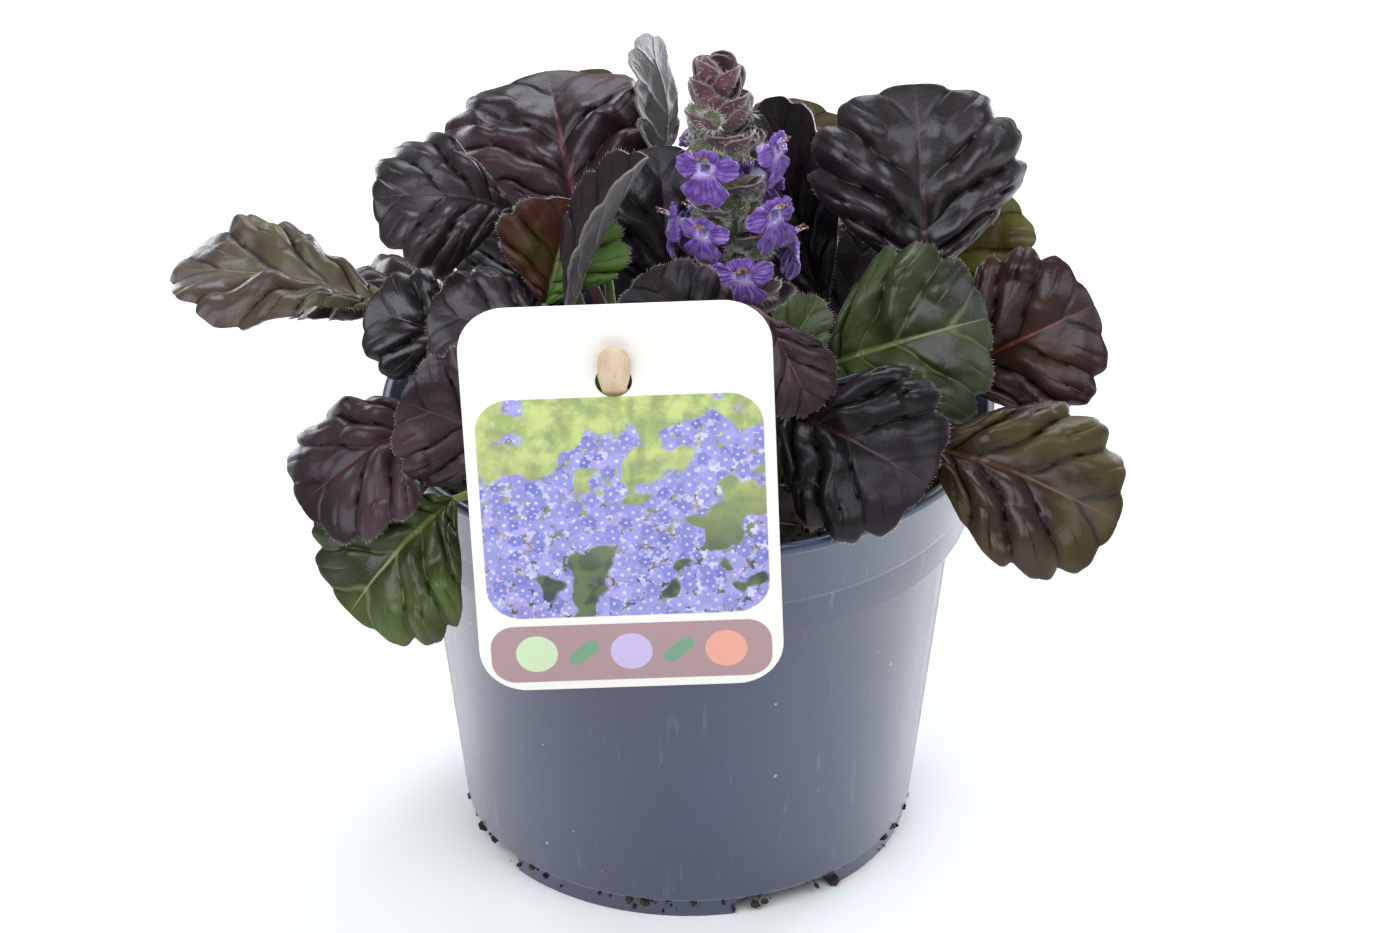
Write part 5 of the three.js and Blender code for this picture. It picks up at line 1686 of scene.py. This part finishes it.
@dataclass(frozen=True)
class Soil:
    """The mound of peat in the pot, with its crumbs, straw and bits of bark.

    Args:
        columns: faces round the mound.
    """

    columns: int = 150

    CROWN = 94.5
    RIM = 92.0
    LEVEL = 34.0
    RADIUS = 60.7
    PROFILE = ((0, 5.9), (46.6, 5.9), (54.4, 74.9), (57.7, 77.3), (RADIUS, RIM), (LEVEL, CROWN), (0, CROWN))
    STEPS = (3, 8, 2, 3, 26, 26)
    TOP_RUN = 4
    CRUMBS = 1500
    CRUMB_SIZES = (0.35, 1.9)
    LITTER_WIDTH = 0.28
    LITTER_THICKNESS = 0.16

    def surface(self, u: float, v: float) -> Vector:
        """Finds a point of the skin.

        Args:
            u: from the middle of the bottom, over the side, to the middle of the top.
            v: share of the turn.

        Returns:
            The point, in millimetres.
        """
        at = u * sum(self.STEPS)
        run = 0
        while run < len(self.STEPS) - 1 and at > self.STEPS[run] + 1e-6:
            at -= self.STEPS[run]
            run += 1
        share = min(1.0, at / self.STEPS[run])
        low, high = self.PROFILE[run], self.PROFILE[run + 1]
        radius, height = between(low[0], high[0], share), between(low[1], high[1], share)
        turn = tau * v
        spot = Vector((radius * cos(turn), radius * sin(turn), height))
        if run >= self.TOP_RUN:
            broad = noise.noise(spot / 9) + 0.6 * noise.noise(spot / 3.2)
            spot.z += (0.9 * broad - 0.5) * smooth(61.5, 56, radius)
        return spot

    def spots(self, count: int, draw: random.Random) -> Iterable[Vector]:
        """Draws places on the mound, thicker towards the rim where they can be seen.

        Args:
            count: how many.
            draw: the seeded draws.

        Yields:
            The places, in millimetres.
        """
        for _ in range(count):
            radius, turn = 59.5 * draw.random() ** 0.42, draw.uniform(0, tau)
            x, y = radius * cos(turn), radius * sin(turn)
            top = between(self.CROWN, self.RIM, smooth(self.LEVEL, self.RADIUS, hypot(x, y)))
            yield Vector((x, y, top + draw.uniform(-0.5, 0.4)))

    def litter(self, count: int, length: float, draw: random.Random) -> Form:
        """Strews thin, flat bits over the mound.

        Args:
            count: how many.
            length: their usual length, in millimetres.
            draw: the seeded draws.

        Returns:
            The bits as one form.
        """
        places = []
        for spot in self.spots(count, draw):
            turn = upright(Vector((draw.gauss(0, 1), draw.gauss(0, 1), draw.gauss(0, 0.22))))
            size = Matrix.Diagonal((self.LITTER_WIDTH * MM, self.LITTER_THICKNESS * MM,
                                    length * draw.uniform(0.4, 1.3) * MM, 1))
            places.append(Matrix.Translation((spot + Vector((0, 0, 0.4))) * MM) @ turn @ size)
        return scattered(hair(5), places)

    def build(self, draw: random.Random) -> None:
        """Builds the soil.

        Args:
            draw: the seeded draws.
        """
        piece = Piece("soil", "soil")
        mound = formed_sheet(sum(self.STEPS), self.columns, self.surface)
        piece.join(outward(mound), PEAT.build())
        crumbs = [crumb_place(spot, draw, *self.CRUMB_SIZES) for spot in self.spots(self.CRUMBS, draw)]
        piece.join(scattered(grain_form(), crumbs), PEAT.build())
        piece.join(self.litter(170, 5.0, draw), STRAW.build())
        piece.join(self.litter(110, 4.0, draw), BARK.build())
        piece.done(sharp=50)


@dataclass(frozen=True)
class LabelCard:
    """The printed card with round corners that hangs on the stake.

    Args:
        width: of the flat card, in millimetres.
        height: of the flat card.
        thickness: of the card.
        corner: radius of its corners.
        hole: radius of the punched hole.
    """

    width: float = 61.0
    height: float = 87.0
    thickness: float = 0.6
    corner: float = 9.5
    hole: float = 3.6

    SWING = radians(-2.3)
    MIDDLE = Vector((-12.6, -68.2, 114.7))
    HOLE_PLACE = Vector((-0.6, 0, 26.7))
    RIM_TURN = radians(60)
    RIM = 0.12

    def place(self) -> Matrix:
        """From the card's own frame, facing -Y, to the plant's, in metres."""
        return Matrix.Translation(self.MIDDLE * MM) @ Matrix.Rotation(self.SWING, 4, "Y")

    def plate(self) -> Form:
        """Makes the card without its hole: a sheet with rounded corners, given its thickness.

        Returns:
            The closed form, in the card's own frame.
        """
        form = bmesh.new()
        bmesh.ops.create_grid(form, x_segments=1, y_segments=1, size=0.5)
        bmesh.ops.scale(form, vec=Vector((self.width, self.height, 1)) * MM, verts=form.verts)
        bmesh.ops.bevel(form, geom=form.verts[:], offset=self.corner * MM, segments=12, profile=0.5,
                        affect="VERTICES", material=-1)
        bmesh.ops.rotate(form, cent=(0, 0, 0), matrix=Matrix.Rotation(pi / 2, 3, "X"), verts=form.verts)
        bmesh.ops.translate(form, vec=(0, -self.thickness / 2 * MM, 0), verts=form.verts)
        raised = made_verts(bmesh.ops.extrude_face_region(form, geom=form.faces[:], use_keep_orig=True))
        bmesh.ops.translate(form, vec=(0, self.thickness * MM, 0), verts=raised)
        return outward(form)

    def build(self) -> None:
        """Punches the card, rounds its rims and hangs it in its place."""
        punch = bmesh.new()
        bmesh.ops.create_cone(punch, cap_ends=True, segments=64, radius1=self.hole * MM,
                              radius2=self.hole * MM, depth=4 * MM)
        moved(punch, Matrix.Translation(self.HOLE_PLACE * MM) @ Matrix.Rotation(pi / 2, 4, "X"))
        form = cut_away(self.plate(), [punch])
        rims = [edge for edge in form.edges if len(edge.link_faces) == 2
                and edge.calc_face_angle() > self.RIM_TURN]
        bmesh.ops.bevel(form, geom=rims, offset=self.RIM * MM, segments=2, profile=0.5,
                        affect="EDGES", material=-1)
        bmesh.ops.triangulate(form, faces=[face for face in form.faces if len(face.verts) > 4])
        piece = Piece("label_card", "card")
        piece.join(moved(form, self.place()), CardFinish(self.MIDDLE, self.SWING).build())
        piece.done(sharp=30)


@dataclass(frozen=True)
class Stake:
    """The flat wooden strip that leans out over the rim and through the card's hole.

    Args:
        width: of the strip, in millimetres.
        thickness: of the strip.
    """

    width: float = 4.6
    thickness: float = 1.0

    X = -14.2
    PATH = ((-53.5, 82), (-55, 92), (-58, 108), (-61.8, 124),
            (-65.2, 134.5), (-68.6, 142), (-70.6, 147.5), (-71.4, 150))
    NECK = 0.82
    HEAD = 0.9
    FLARE = 0.35
    ROUNDING = 0.8
    STEPS = 44
    FINE_STEPS = 12

    def line(self) -> list[Vector]:
        """Runs a smooth curve through the path's points and spaces it evenly.

        Returns:
            The points, in millimetres.
        """
        knots = [Vector((self.X, y, z)) for y, z in self.PATH]
        knots = [2 * knots[0] - knots[1], *knots, 2 * knots[-1] - knots[-2]]
        fine = []
        for at in range(1, len(knots) - 2):
            a, b, c, d = knots[at - 1:at + 3]
            for step in range(self.FINE_STEPS):
                t = step / self.FINE_STEPS
                fine.append(0.5 * (2 * b + (c - a) * t + (2 * a - 5 * b + 4 * c - d) * t ** 2
                                   + (3 * b - a - 3 * c + d) * t ** 3))
        fine.append(knots[-2])
        runs = [0.0]
        for a, b in zip(fine, fine[1:]):
            runs.append(runs[-1] + (b - a).length)
        points = []
        for step in range(self.STEPS + 1):
            goal = step / self.STEPS * runs[-1]
            at = max(1, next(i for i, run in enumerate(runs) if run >= goal - 1e-9))
            points.append(fine[at - 1].lerp(fine[at], (goal - runs[at - 1]) / (runs[at] - runs[at - 1])))
        return points

    def half(self, share: float) -> float:
        """Works out half the width, flared at the head, with a rounded end.

        Args:
            share: of the length, from the foot.

        Returns:
            Half the width, in millimetres.
        """
        past = max(0.0, (share - self.HEAD) / (1 - self.HEAD))
        flare = 1 + self.FLARE * smooth(self.NECK, self.HEAD, share)
        return self.width / 2 * flare * sqrt(1 - self.ROUNDING * past ** 5)

    def build(self) -> None:
        """Builds the stake."""
        piece = Piece("label_stake", "stake")
        flat = self.thickness / self.width
        piece.join(tube(self.line(), self.half, 28, flat, Vector((0, -1, 0)), power=9), StakeFinish().build())
        piece.done(sharp=45)


@dataclass(frozen=True)
class PotFinish(Finish):
    """Slate-blue moulded plastic with scuffs, pale dust and dark specks of soil."""

    name: str = "slate_plastic"
    deep: int = 0x20294C
    pale: int = 0x252F54
    rough: Pair = (0.34, 0.44)
    broad: float = 22.0
    fine: float = 2600.0
    relief: float = 0.02
    sheen: float = 1.0
    sheen_rough: float = 0.085
    coat: float = 1.0

    def dress(self, g: Graph, where: Socket, color: Socket) -> Socket:
        """Adds the scuffs, the dust, the specks of soil and the pale line above the foot.

        Args:
            g: the material's graph.
            where: the object's coordinates.
            color: the plain plastic.

        Returns:
            The worn plastic.
        """
        scuff = g.noise(g.place(where, scale=(1, 1, 0.12)), 420.0, 3.0, 0.6)
        color = g.mix(g.span(scuff, 0.62, 0.8, 0.0, 0.28), color, ink(0x8D93A8))
        height = g.axes(where)[2]
        low = g.span(height, 4 * MM, 24 * MM, 0.5, 0.06)
        high = g.span(height, 60 * MM, 90 * MM, 0.0, 0.16)
        for scale, size, share, strength, tone in ((330.0, 0.16, 0.05, 0.65, 0xA9ADBB),
                                                   (210.0, 0.22, g.plus(low, high), 0.85, 0x33261F)):
            specks = g.effect("specks", {"Vector": where, "Scale": scale, "Size": size, "Share": share})
            color = g.tint(color, specks.outputs["Mask"], strength, ink(tone))
        line = g.peak(g.math("ABSOLUTE", g.minus(height, 4.8 * MM)), 0.25 * MM)
        return g.tint(color, line, 0.3, ink(0x9298AC))


@dataclass(frozen=True)
class PetalFinish(Finish):
    """A violet-blue petal: pale at the throat, with darker veins that fan out from it."""

    name: str = "petal"
    deep: int = 0x603490
    pale: int = 0x8C64BA
    rough: Pair = (0.45, 0.6)
    broad: float = 500.0
    fine: float = 2500.0
    relief: float = 0.03
    sheen: float = 0.3

    def dress(self, g: Graph, where: Socket, color: Socket) -> Socket:
        """Adds the pale throat and the veins, from the petal's own UV map.

        Args:
            g: the material's graph.
            where: the object's coordinates.
            color: the plain petal.

        Returns:
            The veined petal.
        """
        out, across, _ = g.axes(g.spot("UV"))
        warp = g.times(g.noise(where, 500.0), 0.06)
        stripe = g.math("COSINE", g.times(g.plus(across, warp), 44.0))
        vein = g.times(g.span(stripe, 0.45, 1.0), g.span(out, 0.95, 0.4))
        color = g.tint(color, vein, 0.8, ink(0x35207C))
        color = g.mix(g.span(out, 0.26, 0.02, 0.0, 0.7), color, ink(0xBCA8DC))
        return g.mix(g.span(out, 0.88, 1.0, 0.0, 0.4), color, ink(0x9A80D8))


@dataclass(frozen=True)
class BractFinish(Finish):
    """A bract's skin, with dark veins and a pale, downy margin."""

    rough: Pair = (0.45, 0.6)
    broad: float = 220.0
    fine: float = 1500.0
    relief: float = 0.12
    sheen: float = 0.35

    def dress(self, g: Graph, where: Socket, color: Socket) -> Socket:
        """Adds the veins and the margin, from the bract's own UV map.

        Args:
            g: the material's graph.
            where: the object's coordinates.
            color: the plain skin.

        Returns:
            The veined skin.
        """
        veins = g.effect("venation", {"UV": g.spot("UV"), "Veins": BRACT_VEINS}).outputs
        color = g.tint(color, g.math("MAXIMUM", veins["Vein"], veins["Rib"]), 0.55, ink(0x2C1218))
        return g.tint(color, veins["Edge"], 0.5, ink(0x94787E))


@dataclass(frozen=True)
class StakeFinish(Finish):
    """Raw, pale wood with its grain along the strip."""

    name: str = "raw_wood"
    deep: int = 0xCBAE8A
    pale: int = 0xDCC4A4
    rough: Pair = (0.55, 0.7)
    broad: float = 260.0
    fine: float = 1400.0
    relief: float = 0.06
    grain: Point = (1, 1, 0.06)

    def dress(self, g: Graph, where: Socket, color: Socket) -> Socket:
        """Adds fine dark streaks and stains from the soil.

        Args:
            g: the material's graph.
            where: the object's coordinates, stretched along the grain.
            color: the plain wood.

        Returns:
            The stained wood.
        """
        streak = g.noise(g.place(where, scale=(1, 1, 0.5)), 1500.0, 2.0)
        color = g.mix(g.span(streak, 0.55, 0.7, 0.0, 0.4), color, ink(0xB08A60))
        height = g.axes(g.spot())[2]
        return g.mix(g.span(height, 104 * MM, 92 * MM, 0.0, 0.7), color, ink(0x5B4430))


@dataclass(frozen=True)
class CardFinish:
    """The card's print: blossoms over foliage, a mauve band and plain shapes, without lettering.

    Args:
        middle: where the card's middle is, in millimetres.
        swing: how the card is turned about Y, in radians.
    """

    middle: Vector
    swing: float

    WHITE = 0xF1ECE4
    GARDEN = (0.0, -1.6, 28.2, 25.0, 7.0)
    BAND = (0.0, -35.0, 28.2, 6.6, 5.0)
    BLOSSOMS = ((0.6, 1.0, 0x6A5468, 0xC0AAC6, 0.8), (0.45, 1.25, 0x939CDC, 0xD6D2F2, 0.4),
                (0.34, 1.6, 0x6C74C6, 0xB0A2DC, 1.1), (0.27, 2.0, 0x686EC0, 0xA6A2DE, 0.0))
    DISCS = ((-19.0, 0xC9DDB4), (0.0, 0xC3B4DC), (19.0, 0xE8A08C))
    DISC = 4.2
    LEAVES = (-9.5, 9.5)
    LEAF_SHAPE = (0.0, 0.0, 3.6, 1.5, 1.5)
    LEAF_SLANT = 0.7

    def build(self) -> Material:
        """Makes the material. Both sides carry the same print.

        Returns:
            The material.
        """
        material, g, shader = new_material("printed_card")
        flat = g.place(g.spot(), tuple(self.middle * MM), (0, self.swing, 0), (MM, MM, MM), "TEXTURE")
        color = g.mix(self.panel(g, flat, *self.GARDEN), ink(self.WHITE), self.garden(g, flat))
        color = g.mix(self.panel(g, flat, *self.BAND), color, self.band(g, flat))
        paper = g.noise(flat, 6.0, 2.0)
        g.feed(shader, {"Base Color": g.mix(g.span(paper, 0.3, 0.7, 0.0, 0.04), color, ink(0xC9C2B8)),
                        "Roughness": g.span(g.noise(flat, 2.0, 3.0), 0.3, 0.7, 0.32, 0.4),
                        "Normal": g.bump(paper, 0.01, 0.6)})
        return material

    @staticmethod
    def panel(g: Graph, flat: Socket, *sizes: float) -> Socket:
        """The mask of a rounded panel: x and z of its middle, half its width and height, its corner."""
        names = ("X", "Z", "Half Width", "Half Height", "Corner")
        return g.effect("rounded_panel", {"Vector": flat, **dict(zip(names, sizes))}).outputs["Mask"]

    def garden(self, g: Graph, flat: Socket) -> Socket:
        """Paints foliage, light above and dark below, under four sizes of blossoms.

        Args:
            g: the material's graph.
            flat: millimetres from the card's middle.

        Returns:
            The colour.
        """
        height = g.axes(flat)[2]
        ground = g.mix(g.span(height, -20.0, 16.0), ink(0x2C3828), ink(0xC3CF7E))
        patch = g.span(g.noise(flat, 0.16, 4.0, 0.6), 0.42, 0.6)
        color = g.tint(ground, patch, 0.55, ink(0x6F8644))
        bare = g.plus(g.noise(g.place(flat, (3, 0, 9)), 0.07, 2.0), g.span(height, -8.0, 20.0, 0.0, 0.14))
        for scale, size, low, high, turn in self.BLOSSOMS:
            spread = g.place(flat, (13 * turn, 0, 7 * turn), (0, turn, 0))
            bloom = g.effect("blossoms", {"Vector": spread, "Scale": scale, "Size": size}).outputs
            here = g.times(bloom["Petal"], g.span(bare, 0.56, 0.6, 1.0, 0.0))
            color = g.mix(here, color, g.mix(bloom["Tint"], ink(low), ink(high)))
            color = g.mix(g.times(bloom["Heart"], here), color, ink(0xD6CCEC))
        return g.mix(g.span(g.noise(flat, 0.3, 3.0), 0.4, 0.62, 0.0, 0.2), color, ink(0x403E74))

    def band(self, g: Graph, flat: Socket) -> Socket:
        """Paints a mauve band with a row of discs and leaf shapes in pale green, lilac and salmon.

        Args:
            g: the material's graph.
            flat: millimetres from the card's middle.

        Returns:
            The colour.
        """
        color, middle = ink(0xA8878B), self.BAND[1]
        for x, tone in self.DISCS:
            disc = self.panel(g, flat, x, middle, self.DISC, self.DISC, self.DISC)
            color = g.mix(disc, color, ink(tone))
        for x in self.LEAVES:
            slant = g.place(g.place(flat, (-x, 0, -middle)), turn=(0, self.LEAF_SLANT, 0))
            color = g.mix(self.panel(g, slant, *self.LEAF_SHAPE), color, ink(0x6E9A78))
        return color


MARGIN = Finish("leaf_margin", 0x6A5A58, 0x8A7C78, rough=(0.5, 0.6), sheen=0.4)
MARGIN_HAIR = Finish("margin_hair", 0xB9ADA8, 0xD2C8C4, rough=(0.5, 0.6))
WOOL = Finish("wool", 0xCFCBC2, 0xE6E4DE, rough=(0.5, 0.6))
PEAT = Finish("peat", 0x1E1713, 0x3A2C22, rough=(0.8, 0.95), broad=300, fine=1800, relief=0.4)
STRAW = Finish("straw", 0x8A7550, 0xB39C70, rough=(0.6, 0.8), broad=300)
BARK = Finish("bark", 0x4A3526, 0x6B5038, rough=(0.7, 0.9), broad=300)
STEM = Finish("stem", 0x66743C, 0x8A8E58, rough=(0.4, 0.55), broad=90, relief=0.05, grain=(1, 1, 0.3))
BRACT = BractFinish("bract", 0x381A22, 0x542E36)
BRACT_BACK = BractFinish("bract_back", 0x4C2630, 0x70424A)
LOW_BRACT = BractFinish("low_bract", 0x26141B, 0x3E242C)
BRACT_RIM = Finish("bract_rim", 0x60444C, 0x86686E, rough=(0.5, 0.6), broad=300)
CALYX = Finish("calyx", 0x565A3C, 0x8A886E, rough=(0.5, 0.7), broad=350, fine=1500, relief=0.15, sheen=0.5)
ANTHER = Finish("anther", 0x6E4428, 0x94683C, rough=(0.5, 0.7), broad=600)
PALE_PETAL = Finish("pale_petal", 0xA898D8, 0xD8D0EE, rough=(0.45, 0.6), broad=400, sheen=0.3)
FLOOR = Finish("floor", 0xF7F6F4, 0xFAF9F7, rough=(0.6, 0.7), broad=3, fine=40, relief=0.01)

FLORETS = (
    Floret("floret_1", 156, -107, 14, 1.15),
    Floret("floret_2", 157, -25, 14, 1.05),
    Floret("floret_3", 145, -44, 10, 1.15),
    Floret("floret_4", 139.5, -178, 10, 1.1),
    Floret("floret_5", 143, -118, 6, 0.95),
    Floret("floret_6", 136, -84, 0, 1.2),
    Floret("floret_7", 153, 110, 12, 1.05),
    Floret("floret_8", 145, 60, 8, 1.15),
    Floret("floret_9", 134, 20, 6, 1.1),
    Floret("floret_10", 137, 130, 4, 1.05),
)


@dataclass(frozen=True)
class Studio:
    """A pale floor, soft lights and the camera at the photograph's angle.

    Args:
        distance: from the camera to what it looks at, in metres.
        elevation: how far the camera looks down, in radians.
        focal_pixels: its focal length in the photograph's pixels.
        picture_width: width of the photograph in pixels.
    """

    distance: float = 1.0
    elevation: float = radians(29.9)
    focal_pixels: float = 4701.8
    picture_width: float = 1400.0

    TARGET = Vector((0.0025, 0, 0.083))
    LIGHTS = (("softbox_left", (-0.5, -0.65, 0.95), 0.9, 11.0),
              ("softbox_right", (0.55, -0.6, 0.85), 0.7, 5.0),
              ("softbox_back", (0.1, 0.8, 1.0), 0.7, 8.5),
              ("edge_left", (-0.52, 0.66, 0.16), 0.4, 3.5),
              ("edge_right", (0.52, 0.66, 0.16), 0.4, 8.5))
    LAMP_COLOR = (0.88, 0.94, 1.0)
    FROM_ALL_ROUND = 0.28
    SENSOR = 36
    FLOOR_SIZE = 6.0

    def build(self) -> None:
        """Sets up everything around the plant."""
        self.floor()
        self.world()
        for light in self.LIGHTS:
            self.light(*light)
        self.camera()
        bpy.context.scene.view_settings.view_transform = "Standard"

    def floor(self) -> None:
        """Lays a wide pale floor, plain and matt."""
        form = bmesh.new()
        bmesh.ops.create_grid(form, x_segments=1, y_segments=1, size=self.FLOOR_SIZE)
        loose_object("floor", form, FLOOR.build())

    def world(self) -> None:
        """Gives even white light from all round."""
        world = bpy.data.worlds.new("studio")
        bpy.context.scene.world = world
        world.use_nodes = True
        background = world.node_tree.nodes["Background"]
        background.inputs["Color"].default_value = (1, 1, 1, 1)
        background.inputs["Strength"].default_value = self.FROM_ALL_ROUND

    def light(self, name: str, place: Point, size: float, power: float) -> None:
        """Hangs a square soft light that looks at the plant.

        Args:
            name: the light's name.
            place: where it hangs, in metres.
            size: length of its sides, in metres.
            power: in watts.
        """
        lamp = bpy.data.lights.new(name, "AREA")
        lamp.shape = "SQUARE"
        lamp.size = size
        lamp.energy = power
        lamp.color = self.LAMP_COLOR
        item = bpy.data.objects.new(name, lamp)
        item.location = place
        item.rotation_euler = (Vector(place) - self.TARGET).to_track_quat("Z", "Y").to_euler()
        bpy.context.scene.collection.objects.link(item)

    def camera(self) -> None:
        """Sets up the camera that sees the plant as the photograph does."""
        lens = bpy.data.cameras.new("camera")
        back = Vector((0, -cos(self.elevation), sin(self.elevation)))
        item = bpy.data.objects.new("camera", lens)
        item.location = self.TARGET + back * self.distance
        item.rotation_euler = back.to_track_quat("Z", "Y").to_euler()
        lens.sensor_width = self.SENSOR
        lens.lens = self.focal_pixels * self.SENSOR / self.picture_width
        lens.clip_start = 0.01
        bpy.context.scene.collection.objects.link(item)
        bpy.context.scene.camera = item


def main() -> None:
    """Builds the pot, the plant and the label, then the studio around them."""
    logging.basicConfig(level=logging.INFO, format="%(message)s")
    make_effects()
    draw = random.Random(11)
    Pot().build(draw)
    Soil().build(draw)
    LabelCard().build()
    Stake().build()
    Spike(FLORETS).build(draw)
    for item in (*FLORETS, *ROSETTE):
        item.build(draw)
    Studio().build()


if __name__ == "__main__":
    main()
